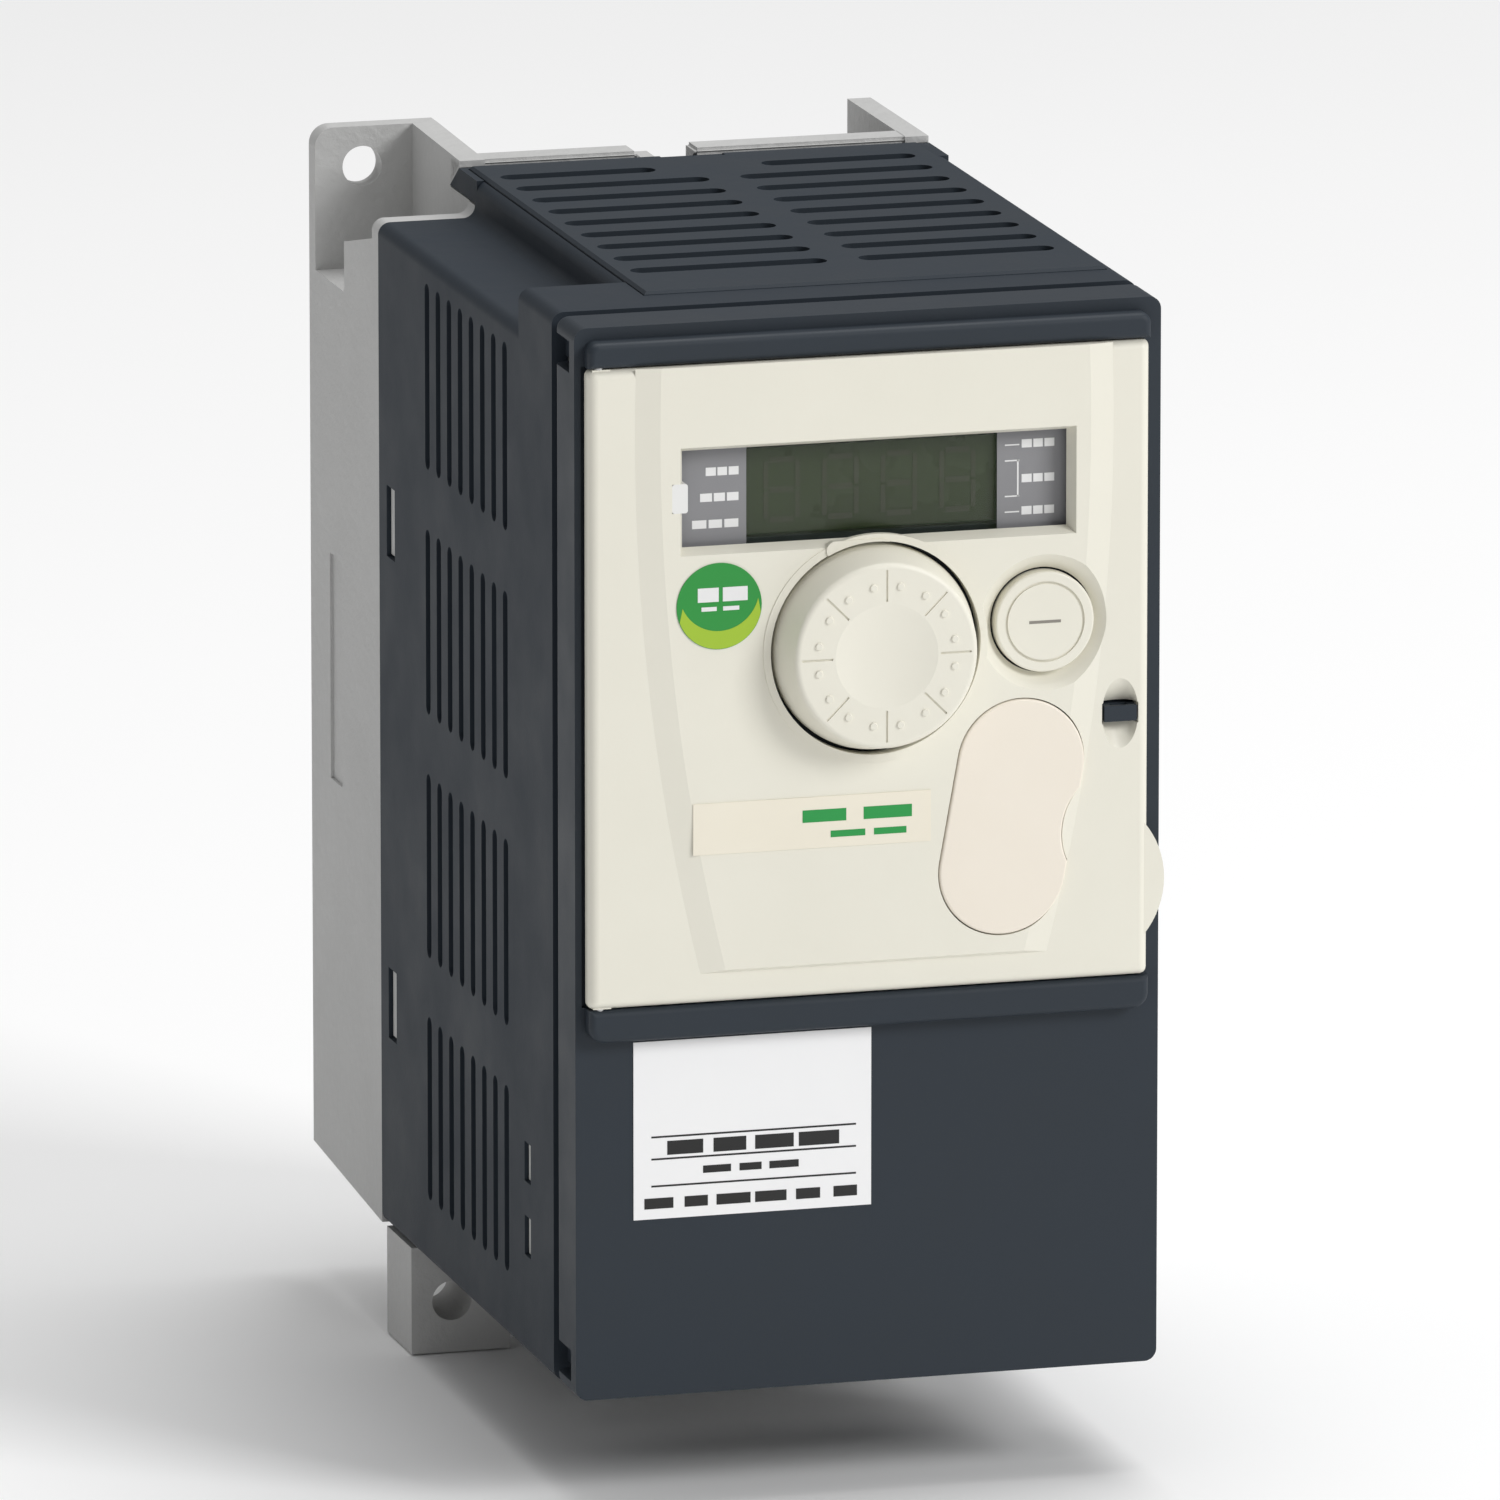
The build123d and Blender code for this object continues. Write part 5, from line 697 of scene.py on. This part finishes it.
def choke_tree() -> bpy.types.NodeTree:
    """A ring core with enamelled copper turns round it, its axis along Y.

    Returns:
        The finished tree.
    """
    sizes = {"Middle": "Vector", "Radius": "Float", "Wide": "Float", "Deep": "Float"}
    sizes |= {"Wire": "Float", "Turns": "Int", "Core": "Material", "Copper": "Material"}
    tree, given = geometry_tree("wound_ring", sizes)
    out = given.outputs
    profile = add(
        tree, "GeometryNodeCurvePrimitiveCircle", {"Resolution": 8, "Radius": out["Wire"]}
    ).outputs["Curve"]
    loop = add(
        tree,
        "GeometryNodeCurvePrimitiveQuadrilateral",
        {"Width": out["Wide"], "Height": out["Deep"]},
    ).outputs["Curve"]
    bend = add(tree, "ShaderNodeMath", {0: out["Wire"], 1: 2.0}, operation="MULTIPLY").outputs[0]
    rounded = add(
        tree,
        "GeometryNodeFilletCurve",
        {"Curve": loop, "Radius": bend, "Count": 4},
        mode="POLY",
    ).outputs[0]
    wire = add(
        tree, "GeometryNodeCurveToMesh", {"Curve": rounded, "Profile Curve": profile}
    ).outputs["Mesh"]
    wire = add(
        tree, "GeometryNodeSetMaterial", {"Geometry": wire, "Material": out["Copper"]}
    ).outputs[0]
    places = add(
        tree,
        "GeometryNodeMeshCircle",
        {"Vertices": out["Turns"], "Radius": out["Radius"]},
        fill_type="NONE",
    ).outputs["Mesh"]
    index = add(tree, "GeometryNodeInputIndex").outputs[0]
    angle = add(tree, "ShaderNodeMath", {0: index, 1: 2 * math.pi}, operation="MULTIPLY").outputs[0]
    angle = add(tree, "ShaderNodeMath", {0: angle, 1: out["Turns"]}, operation="DIVIDE").outputs[0]
    facing = add(tree, "ShaderNodeCombineXYZ", {"X": math.pi / 2, "Z": angle}).outputs[0]
    turns = add(
        tree,
        "GeometryNodeInstanceOnPoints",
        {"Points": places, "Instance": wire, "Rotation": facing},
    ).outputs[0]
    spine = add(
        tree, "GeometryNodeCurvePrimitiveCircle", {"Resolution": 64, "Radius": out["Radius"]}
    ).outputs["Curve"]
    thinner = add(
        tree, "ShaderNodeMath", {0: out["Wide"], 1: bend}, operation="SUBTRACT"
    ).outputs[0]
    shorter = add(
        tree, "ShaderNodeMath", {0: out["Deep"], 1: bend}, operation="SUBTRACT"
    ).outputs[0]
    section = add(
        tree, "GeometryNodeCurvePrimitiveQuadrilateral", {"Width": thinner, "Height": shorter}
    ).outputs["Curve"]
    core = add(
        tree, "GeometryNodeCurveToMesh", {"Curve": spine, "Profile Curve": section}
    ).outputs["Mesh"]
    core = add(
        tree, "GeometryNodeSetMaterial", {"Geometry": core, "Material": out["Core"]}
    ).outputs[0]
    whole = add(tree, "GeometryNodeJoinGeometry")
    for part in (turns, core):
        tree.links.new(part, whole.inputs[0])
    placed = add(
        tree,
        "GeometryNodeTransform",
        {
            "Geometry": whole.outputs[0],
            "Rotation": (math.pi / 2, 0, 0),
            "Translation": out["Middle"],
        },
    ).outputs[0]
    return close_tree(tree, placed)


def can_tops_tree() -> bpy.types.NodeTree:
    """Aluminium tops with a rolled sleeve edge and a near-black cross of painted shade for the score, one
    on each capacitor.

    Returns:
        The finished tree.
    """
    sizes = {"First": "Vector", "Pitch": "Vector", "Count": "Int", "Radius": "Float"}
    sizes |= {"Edge": "Float", "Metal": "Material", "Sleeve": "Material", "Score Shade": "Material"}
    tree, given = geometry_tree("capacitor_tops", sizes)
    out = given.outputs
    disc = add(
        tree,
        "GeometryNodeMeshCylinder",
        {"Vertices": 48, "Radius": out["Radius"], "Depth": out["Edge"]},
    ).outputs["Mesh"]
    disc = add(
        tree, "GeometryNodeSetMaterial", {"Geometry": disc, "Material": out["Metal"]}
    ).outputs[0]
    rim = add(
        tree, "GeometryNodeCurvePrimitiveCircle", {"Resolution": 48, "Radius": out["Radius"]}
    ).outputs["Curve"]
    bead = add(
        tree, "GeometryNodeCurvePrimitiveCircle", {"Resolution": 10, "Radius": out["Edge"]}
    ).outputs["Curve"]
    ring = add(
        tree, "GeometryNodeCurveToMesh", {"Curve": rim, "Profile Curve": bead}
    ).outputs["Mesh"]
    ring = add(
        tree, "GeometryNodeSetMaterial", {"Geometry": ring, "Material": out["Sleeve"]}
    ).outputs[0]
    long = add(tree, "ShaderNodeMath", {0: out["Radius"], 1: 1.2}, operation="MULTIPLY").outputs[0]
    thin = add(tree, "ShaderNodeMath", {0: out["Edge"], 1: 0.8}, operation="MULTIPLY").outputs[0]
    high = add(tree, "ShaderNodeMath", {0: out["Edge"], 1: 1.1}, operation="MULTIPLY").outputs[0]
    top = add(tree, "GeometryNodeJoinGeometry")
    for part in (disc, ring):
        tree.links.new(part, top.inputs[0])
    # thin near-black bars crossing the top: painted shade standing in for the score's groove
    for x, y in ((long, thin), (thin, long)):
        size = add(tree, "ShaderNodeCombineXYZ", {"X": x, "Y": y, "Z": high}).outputs[0]
        score_shade = add(tree, "GeometryNodeMeshCube", {"Size": size}).outputs["Mesh"]
        score_shade = add(
            tree, "GeometryNodeSetMaterial", {"Geometry": score_shade, "Material": out["Score Shade"]}
        ).outputs[0]
        tree.links.new(score_shade, top.inputs[0])
    faced = add(
        tree, "GeometryNodeTransform", {"Geometry": top.outputs[0], "Rotation": (math.pi / 2, 0, 0)}
    ).outputs[0]
    places = add(
        tree,
        "GeometryNodeMeshLine",
        {"Count": out["Count"], "Start Location": out["First"], "Offset": out["Pitch"]},
    ).outputs["Mesh"]
    row = add(
        tree, "GeometryNodeInstanceOnPoints", {"Points": places, "Instance": faced}
    ).outputs[0]
    return close_tree(tree, row)


def ribs_tree() -> bpy.types.NodeTree:
    """Upright stiffening ribs, spaced evenly along X.

    Returns:
        The finished tree.
    """
    sizes = {"First": "Vector", "Pitch": "Vector", "Count": "Int"}
    sizes |= {"Rib": "Vector", "Resin": "Material"}
    tree, given = geometry_tree("stiffening_ribs", sizes)
    out = given.outputs
    rib = add(tree, "GeometryNodeMeshCube", {"Size": out["Rib"]}).outputs["Mesh"]
    line = add(
        tree,
        "GeometryNodeMeshLine",
        {"Count": out["Count"], "Start Location": out["First"], "Offset": out["Pitch"]},
    ).outputs["Mesh"]
    row = add(tree, "GeometryNodeInstanceOnPoints", {"Points": line, "Instance": rib}).outputs[0]
    return close_tree(tree, row, out["Resin"])


# ---------------------------------------------------------------- printed marks
@dataclass(frozen=True)
class Mark:
    """A printed bar or row of bars, measured from its surface's lower left corner."""

    left_mm: float
    up_mm: float
    long_mm: float
    high_mm: float
    words: int = 1
    seed: int = 3
    lift_mm: float = 0.0


# Left, up, long and high of each legend beside the digits, and of the rules that lead to them.
LEGEND_WORDS = [
    (3.6, 9.2, 4.2, 1.0),
    (2.9, 6.1, 4.9, 1.0),
    (1.9, 2.9, 5.9, 1.0),
    (42.4, 10.4, 4.2, 1.0),
    (42.4, 6.2, 4.2, 1.0),
    (42.4, 2.3, 4.2, 1.0),
]
LEGEND_LINES = [
    (40.3, 10.3, 2.0, 0.16),
    (40.3, 2.2, 2.0, 0.16),
    (40.3, 8.4, 2.0, 0.16),
    (40.3, 4.1, 2.0, 0.16),
    (41.9, 6.25, 0.22, 4.4),
]
ROUND_BARS = [Mark(2.2, 6.6, 6.6, 1.7, 2, 5), Mark(2.6, 4.9, 5.4, 0.5, 2, 8)]
RATING_RULES = [Mark(0.6, up, 28.4, 0.22) for up in (10.0, 7.3, 4.0)]
RATING_ROWS = [
    Mark(3.6, 8.6, 22.0, 1.7, 4, 11),
    Mark(8.2, 5.7, 12.4, 0.9, 3, 4),
    Mark(0.8, 1.9, 27.6, 1.3, 6, 9),
]
STRIP_BARS = [Mark(12.2, 3.9, 15.6, 1.5, 2, 2), Mark(16.4, 1.6, 10.4, 0.8, 2, 6)]
ESCAPE_BAR = [Mark(3.9, 6.1, 4.4, 0.35)]


@dataclass
class Printer:
    """Prints generic bars on the front face of a CAD node."""

    film_mm: float = 0.03
    row: bpy.types.NodeTree | None = None

    def print(
        self, name: str, node: str, marks: list[Mark], ink: Finish, body: str, slot: str
    ) -> None:
        """Prints marks as one piece.

        Args:
            name: The piece's name.
            node: The CAD node that is printed on.
            marks: The marks.
            ink: Their finish.
            body: The body that they ride on.
            slot: Not used.
        """
        self.row = self.row or bars_tree()
        low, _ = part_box(node)
        meshes = []
        for mark in marks:
            values = {
                "Start": (
                    low.x + mark.left_mm * MM,
                    low.y - (self.film_mm / 2 + mark.lift_mm) * MM,
                    low.z + mark.up_mm * MM,
                ),
                "Long": mark.long_mm * MM,
                "High": mark.high_mm * MM,
                "Film": self.film_mm * MM,
                "Words": mark.words,
                "Seed": mark.seed,
                "Ink": ink.material(),
            }
            meshes.append(grow(self.row, values))
        settle(join(name, meshes), body)


def settle(piece: bpy.types.Object, body: str, replaced: str | None = None) -> None:
    """Gives a finished piece its body, and reports it.

    Args:
        piece: The piece.
        body: The body that it rides on.
        replaced: A CAD node that it stands for, if any.
    """
    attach(piece, body)
    if replaced is not None:
        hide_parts(replaced)
    log.info("%s: %d faces, on %s", piece.name, len(piece.data.polygons), body)


# ---------------------------------------------------------------- sub-assemblies
# Middle (X and Z), width, height and legs a side of each chip, in millimetres.
CHIP_PLACES = [
    ((-6.0, 22.5), 14.0, 14.0, 20),
    ((14.0, 30.5), 8.0, 5.0, 8),
    ((12.0, 14.5), 6.0, 10.0, 12),
]


class SubAssembly:
    """A group of CAD nodes and fitted pieces that are finished together."""

    def finishes(self) -> dict[str, Finish]:
        """The finish of each CAD node in the group."""
        raise NotImplementedError

    def build(self) -> None:
        """Makes the fitted pieces; a group without any keeps this."""

    def dress(self) -> None:
        """Gives each CAD node its material."""
        for name, finish in self.finishes().items():
            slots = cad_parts[name].material_slots
            for slot in slots:
                slot.material = finish.material()
            log.info("%s: %s", name, finish.name)


@dataclass
class Enclosure(SubAssembly):
    """Casting, housing, roof grille and front door."""

    rib_mm: tuple[float, float, float] = (1.2, 4.0, 30.0)
    rib_pitch_mm: float = 12.0
    rib_count: int = 5
    label_mm: float = 0.12
    skin_mm: float = 2.2
    rib_up_mm: float = 18.0
    lip_thick_mm: float = 4.6
    lip_rise_mm: float = 0.8
    lip_gap_mm: float = 0.6
    lip_in_mm: tuple[float, float] = (12.4, 2.5)
    latch_gap_mm: tuple[float, float] = (35.0, 42.2)
    roof_mm: float = 3.2
    lip_round_mm: float = 0.4
    lip_round_steps: int = 2

    def finishes(self) -> dict[str, Finish]:
        """The finish of each CAD node in the group."""
        return {
            "heat_sink": CASTING,
            "housing": HOUSING,
            "vent_cover": GRILLE_PAINTED_LIGHT,
            "front_door": DOOR,
            "door_hinge_pins": STEEL,
            "cover_hinge_pins": STEEL,
        }

    def build(self) -> None:
        """Ribs inside the lower half of the door, and the casting's lip."""
        housing_low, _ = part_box("housing")
        label_low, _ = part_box("rating_label")
        door_face = label_low.y + self.label_mm * MM
        wide, deep, high = (size * MM for size in self.rib_mm)
        values = {
            "First": (
                -self.rib_pitch_mm * MM * (self.rib_count - 1) / 2,
                door_face + self.skin_mm * MM + deep / 2,
                housing_low.z + self.rib_up_mm * MM,
            ),
            "Pitch": (self.rib_pitch_mm * MM, 0, 0),
            "Count": self.rib_count,
            "Rib": (wide, deep, high),
            "Resin": DOOR.material(),
        }
        settle(join("door_ribs", [grow(ribs_tree(), values)]), "door")
        settle(self._lip(), "chassis")

    def _lip(self) -> bpy.types.Object:
        """The casting's lip behind the roof, in two lengths either side of the latch's gap.

        Returns:
            The piece, with its underside sloped to clear the roof's edge.
        """
        low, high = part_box("housing")
        back = high.y + self.lip_gap_mm * MM
        front = back - self.lip_thick_mm * MM
        top = high.z + self.lip_rise_mm * MM
        side = [(back, high.z - self.roof_mm * MM), (back, top), (front, top), (front, high.z)]
        ends = (
            (low.x + self.lip_in_mm[0] * MM, low.x + self.latch_gap_mm[0] * MM),
            (low.x + self.latch_gap_mm[1] * MM, high.x - self.lip_in_mm[1] * MM),
        )
        made = bmesh.new()
        for start, end in ends:
            face = made.faces.new([made.verts.new((start, y, z)) for y, z in side])
            grown = bmesh.ops.extrude_face_region(made, geom=[face])
            moved = [item for item in grown["geom"] if isinstance(item, bmesh.types.BMVert)]
            bmesh.ops.translate(made, verts=moved, vec=(end - start, 0, 0))
        bmesh.ops.bevel(
            made,
            geom=made.edges[:],
            offset=self.lip_round_mm * MM,
            segments=self.lip_round_steps,
            affect="EDGES",
        )
        bmesh.ops.recalc_face_normals(made, faces=made.faces)
        mesh = bpy.data.meshes.new("lip")
        made.to_mesh(mesh)
        made.free()
        mesh.materials.append(CASTING.material())
        return join("casting_lip", [mesh])


@dataclass
class OperatorPanel(SubAssembly):
    """Cover, display, dial and keys, with their printing."""

    printer: Printer
    digit_mm: tuple[float, float, float] = (3.9, 7.2, 0.75)
    digit_pitch_mm: float = 7.2
    digit_count: int = 4
    digit_front_mm: float = 0.08
    crescent_mm: tuple[float, float, float] = (5.15, 4.9, 1.9)
    crescent_degrees: tuple[float, float] = (200.0, 350.0)
    crescent_steps: int = 40

    def finishes(self) -> dict[str, Finish]:
        """The finish of each CAD node in the group."""
        return {
            "hmi_cover": CREAM,
            "key_blank": PAD,
            "dial_knob": CREAM,
            "esc_key": CREAM,
            "mode_key": CREAM,
            "stop_key": CREAM,
            "run_key": CREAM,
            "display_window": LENS,
            "legend_plates": LEGEND,
            "display_module": DIGIT_RESIN,
            "indicator_leds": LAMP,
            "light_pipe": GUIDE,
            "name_strip": STRIP,
            "round_label": DOT,
            "rating_label": LABEL,
            "dial_shaft": STEEL,
            "push_plate": STEEL,
            "encoder_body": BLACK_BLOCK,
            "hmi_board": BOARD,
            "hmi_board_screws": ZINC,
            "key_switches": CHIP,
        }

    def build(self) -> None:
        """Makes the legends, digits, label print and the mark on the round label."""
        self._legend_panels()
        self._legends()
        self._digits()
        self._round_mark()
        self._label_print()

    def _legend_panels(self) -> None:
        """Grey panels printed on the window, from the digits out to the edge of its seat."""
        window_low, window_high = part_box("display_window")
        digits_low, digits_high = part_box("display_module")
        film = self.printer.film_mm * MM
        panels = []
        for start, end in ((window_low.x, digits_low.x), (digits_high.x, window_high.x)):
            foot, head = window_low.z, window_high.z
            corners = [(start, foot), (end, foot), (end, head), (start, head)]
            panel = plate(corners, window_low.y - film, film)
            panel.materials.append(LEGEND.material())
            panels.append(panel)
        settle(join("legend_panels", panels), "door", "legend_plates")

    def _legends(self) -> None:
        """White legends on the panels, three beside each end of the digits."""
        lift = self.printer.film_mm
        marks = [Mark(*word, words=3, lift_mm=lift) for word in LEGEND_WORDS]
        marks += [Mark(*line, lift_mm=lift) for line in LEGEND_LINES]
        self.printer.print(
            "display_legends", "display_window", marks, WHITE_INK, "door", "legend_film"
        )

    def _digits(self) -> None:
        """Unlit segments that show faintly behind the window."""
        low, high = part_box("display_module")
        middle = (low + high) / 2
        wide, tall, bar = (size * MM for size in self.digit_mm)
        pitch = self.digit_pitch_mm * MM
        film = self.printer.film_mm * MM
        values = {
            "First": (
                middle.x - pitch * (self.digit_count - 1) / 2,
                low.y - self.digit_front_mm * MM,
                middle.z,
            ),
            "Pitch": (pitch, 0, 0),
            "Wide": wide,
            "High": tall,
            "Bar": bar,
            "Count": self.digit_count,
            "Film": film,
            "Resin": SEGMENT.material(),
        }
        settle(join("display_segments", [grow(digits_tree(), values)]), "door")

    def _round_mark(self) -> None:
        """A crescent along the foot of the round label, and two rows of bars above it."""
        low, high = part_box("round_label")
        middle = (low + high) / 2
        outer, inner, lift = (size * MM for size in self.crescent_mm)
        start, end = (math.radians(angle) for angle in self.crescent_degrees)
        steps = self.crescent_steps
        angles = [start + (end - start) * step / steps for step in range(steps + 1)]
        outline = [(middle.x + outer * math.cos(a), middle.z + outer * math.sin(a)) for a in angles]
        for a in reversed(angles[1:-1]):
            x, z = inner * math.cos(a), lift + inner * math.sin(a)
            outline.append((middle.x + x, middle.z + min(z, outer * math.sin(a) + outer)))
        film = self.printer.film_mm * MM
        crescent = plate(outline, low.y - film, film)
        crescent.materials.append(LIME.material())
        settle(join("round_label_crescent", [crescent]), "operator_cover")
        self.printer.print(
            "round_label_bars", "round_label", ROUND_BARS, WHITE_INK, "operator_cover", "dot_label"
        )

    def _label_print(self) -> None:
        """Rules and bars on the rating label, bars on the strip and a mark on the escape key."""
        self.printer.print(
            "rating_print",
            "rating_label",
            RATING_RULES + RATING_ROWS,
            BLACK_INK,
            "door",
            "rating_film",
        )
        self.printer.print(
            "strip_print", "name_strip", STRIP_BARS, GREEN_INK, "operator_cover", "strip_film"
        )
        self.printer.print(
            "escape_mark", "esc_key", ESCAPE_BAR, GREY_INK, "esc_key", "cream_plastic"
        )


@dataclass
class Electronics(SubAssembly):
    """Boards, power parts, terminals and the frame that carries them."""

    part_mm: tuple[float, float, float] = (1.6, 0.6, 0.8)
    leg_mm: tuple[float, float, float] = (0.35, 0.25, 0.9)
    control_area_mm: tuple[float, float] = (40.0, 10.0)
    control_area_down_mm: float = 10.0
    terminal_area_mm: tuple[float, float] = (40.0, 12.0)
    terminal_area_up_mm: float = 24.0
    door_area_mm: tuple[float, float] = (38.0, 22.0)
    door_area_at_mm: tuple[float, float] = (-2.0, 22.0)
    end_leg_mm: float = 0.5
    turns: int = 36
    wire_mm: float = 0.45
    core_hole_share: float = 6 / 13
    can_count: int = 2
    can_edge_mm: float = 1.4
    can_bead_mm: float = 0.3

    def finishes(self) -> dict[str, Finish]:
        """The finish of each CAD node in the group."""
        return {
            "carrier": CARRIER,
            "control_board": BOARD,
            "power_board": BOARD,
            "control_chips": CHIP,
            "power_module": CHIP,
            "control_terminals": GREEN_BLOCK,
            "power_terminals": BLACK_BLOCK,
            "board_connector": BLACK_BLOCK,
            "network_socket": TIN,
            "board_spacers": BRASS,
            "board_screws": ZINC,
            "module_screws": ZINC,
            "earth_screws": ZINC,
            "control_terminal_screws": ZINC,
            "power_terminal_screws": ZINC,
            "bus_capacitors": SLEEVE,
            "filter_choke": FERRITE,
            "filter_capacitors": FILM_BOX,
            "relay": RELAY_CASE,
            "transformer": TAPE,
        }

    def build(self) -> None:
        """Makes the small board parts, the chip legs, the choke and the capacitor tops."""
        self._board_parts()
        self._legs()
        self._choke()
        self._can_tops()

    def _board_parts(self) -> None:
        """Small parts on the free areas of the control board and on the operator board's rear."""
        tree = chips_tree()
        board_low, board_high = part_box("control_board")
        hmi_low, hmi_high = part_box("hmi_board")
        deep = self.part_mm[1] * MM / 2
        front, rear = board_low.y - deep, hmi_high.y + deep
        upper = (0, front, board_high.z - self.control_area_down_mm * MM)
        lower = (0, front, board_low.z + self.terminal_area_up_mm * MM)
        behind = (self.door_area_at_mm[0] * MM, rear, hmi_low.z + self.door_area_at_mm[1] * MM)
        # body, middle, size, grid of places and seed of each area
        areas = [
            ("chassis", upper, self.control_area_mm, (14, 5), 4),
            ("chassis", lower, self.terminal_area_mm, (14, 6), 9),
            ("door", behind, self.door_area_mm, (12, 8), 6),
        ]
        by_body: dict[str, list[bpy.types.Mesh]] = {}
        for body, middle, (wide, high), (columns, rows), seed in areas:
            values = {
                "Middle": middle,
                "Wide": wide * MM,
                "High": high * MM,
                "Columns": columns,
                "Rows": rows,
                "Part": tuple(size * MM for size in self.part_mm),
                "Seed": seed,
                "Body": CERAMIC.material(),
                "Ends": TIN.material(),
            }
            by_body.setdefault(body, []).append(grow(tree, values))
        for body, meshes in by_body.items():
            settle(join(f"{body}_board_parts", meshes), body)

    def _legs(self) -> None:
        """Legs along both sides of the largest chip and of the two smaller ones."""
        tree = legs_tree()
        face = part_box("control_board")[0].y
        wide, thick, long = (size * MM for size in self.leg_mm)
        meshes = []
        for (x, z), across, along, count in CHIP_PLACES:
            values = {
                "Middle": (x * MM, face - thick / 2, z * MM),
                "Across": ((across * MM + long) / 2, 0, 0),
                "Along": (0, 0, (along - 2 * self.end_leg_mm) * MM / (count - 1)),
                "Count": count,
                "Leg": (long, thick, wide),
                "Tin": TIN.material(),
            }
            meshes.append(grow(tree, values))
        settle(join("chip_legs", meshes), "chassis")

    def _choke(self) -> None:
        """The wound ring, which stands for the plain ring of the frame."""
        low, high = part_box("filter_choke")
        outer = (high.x - low.x) / 2
        inner = outer * self.core_hole_share
        wire = self.wire_mm * MM
        values = {
            "Middle": (low + high) / 2,
            "Radius": (outer + inner) / 2,
            "Wide": outer - inner - 2 * wire,
            "Deep": high.y - low.y - 2 * wire,
            "Wire": wire,
            "Turns": self.turns,
            "Core": FERRITE.material(),
            "Copper": COPPER.material(),
        }
        piece = join("wound_choke", [grow(choke_tree(), values)])
        settle(piece, "chassis", "filter_choke")

    def _can_tops(self) -> None:
        """Tops on the two large capacitors, with a cross of painted shade for the score."""
        low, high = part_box("bus_capacitors")
        radius = (high.x - low.x) / 2
        values = {
            "First": ((low.x + high.x) / 2, low.y, low.z + radius),
            "Pitch": (0, 0, high.z - low.z - 2 * radius),
            "Count": self.can_count,
            "Radius": radius - self.can_edge_mm * MM,
            "Edge": self.can_bead_mm * MM,
            "Metal": CAN.material(),
            "Sleeve": SLEEVE.material(),
            # near-black epoxy for the cross of painted shade on each top
            "Score Shade": CHIP.material(),
        }
        settle(join("capacitor_tops", [grow(can_tops_tree(), values)]), "chassis")


# ---------------------------------------------------------------- studio
@dataclass(frozen=True)
class Lamp:
    """A square area light that faces the origin."""

    name: str
    place: tuple[float, float, float]
    size: float
    power: float


KEY_LIGHT = Lamp("key_light", (1.5, -1.7, 1.2), 0.9, 33.0)
TOP_LIGHT = Lamp("top_light", (0.3, 0.2, 2.0), 1.4, 26.0)


@dataclass
class Studio:
    """Floor, light and camera."""

    azimuth: float = -15.76
    elevation: float = 12.82
    distance: float = 2.4301
    aim_offset_mm: tuple[float, float, float] = (1.8, 0.0, 5.6)
    lens_mm: float = 480.94
    sensor_mm: float = 36.0
    floor_size: float = 16.0
    floor_drop_mm: float = 0.2
    view_reach: float = 50.0
    world_strength: float = 0.32

    def build(self) -> None:
        """Makes the floor, the lights and the camera."""
        self._floor()
        self._lights()
        self._camera()

    def _floor(self) -> None:
        """A pale floor under the lugs."""
        low = CAD_BOX[0]
        made = bmesh.new()
        bmesh.ops.create_grid(made, x_segments=1, y_segments=1, size=self.floor_size / 2)
        bmesh.ops.translate(made, verts=made.verts, vec=(0, 0, low[2] - self.floor_drop_mm * MM))
        mesh = bpy.data.meshes.new("studio_floor")
        made.to_mesh(mesh)
        made.free()
        mesh.materials.append(PAPER.material())
        floor = bpy.data.objects.new("studio_floor", mesh)
        bpy.context.scene.collection.objects.link(floor)

    def _lights(self) -> None:
        """A weak pale surround, a broad light from the upper right front and one overhead."""
        world = bpy.data.worlds.new("pale_surround")
        world.use_nodes = True
        world.node_tree.nodes.clear()
        sky = add(world.node_tree, "ShaderNodeBackground", {"Color": srgb("FFFFFF")})
        sky.inputs["Strength"].default_value = self.world_strength
        add(world.node_tree, "ShaderNodeOutputWorld", {"Surface": sky.outputs[0]})
        bpy.context.scene.world = world
        for lamp in (KEY_LIGHT, TOP_LIGHT):
            area = bpy.data.lights.new(lamp.name, "AREA")
            area.size = lamp.size
            area.energy = lamp.power
            light = bpy.data.objects.new(lamp.name, area)
            light.location = lamp.place
            light.rotation_euler = (-Vector(lamp.place)).to_track_quat("-Z", "Y").to_euler()
            bpy.context.scene.collection.objects.link(light)

    def _camera(self) -> None:
        """A long lens that looks down on the front from the left."""
        low, high = Vector(CAD_BOX[0]), Vector(CAD_BOX[1])
        aim = (low + high) / 2 + Vector(self.aim_offset_mm) * MM
        turn, tilt = math.radians(self.azimuth), math.radians(self.elevation)
        away = Vector(
            (math.sin(turn) * math.cos(tilt), -math.cos(turn) * math.cos(tilt), math.sin(tilt))
        )
        lens = bpy.data.cameras.new("camera")
        lens.lens = self.lens_mm
        lens.sensor_width = self.sensor_mm
        lens.clip_end = self.view_reach
        camera = bpy.data.objects.new("camera", lens)
        camera.location = aim + away * self.distance
        camera.rotation_euler = (-away).to_track_quat("-Z", "Y").to_euler()
        bpy.context.scene.collection.objects.link(camera)
        bpy.context.scene.camera = camera
        bpy.context.scene.view_settings.view_transform = "Standard"


def main() -> None:
    """Builds and dresses the drive."""
    logging.basicConfig(level=logging.INFO, format="%(name)s %(message)s")
    for group in (Enclosure(), OperatorPanel(Printer()), Electronics()):
        group.dress()
        group.build()
    Studio().build()


if __name__ == "__main__":
    main()
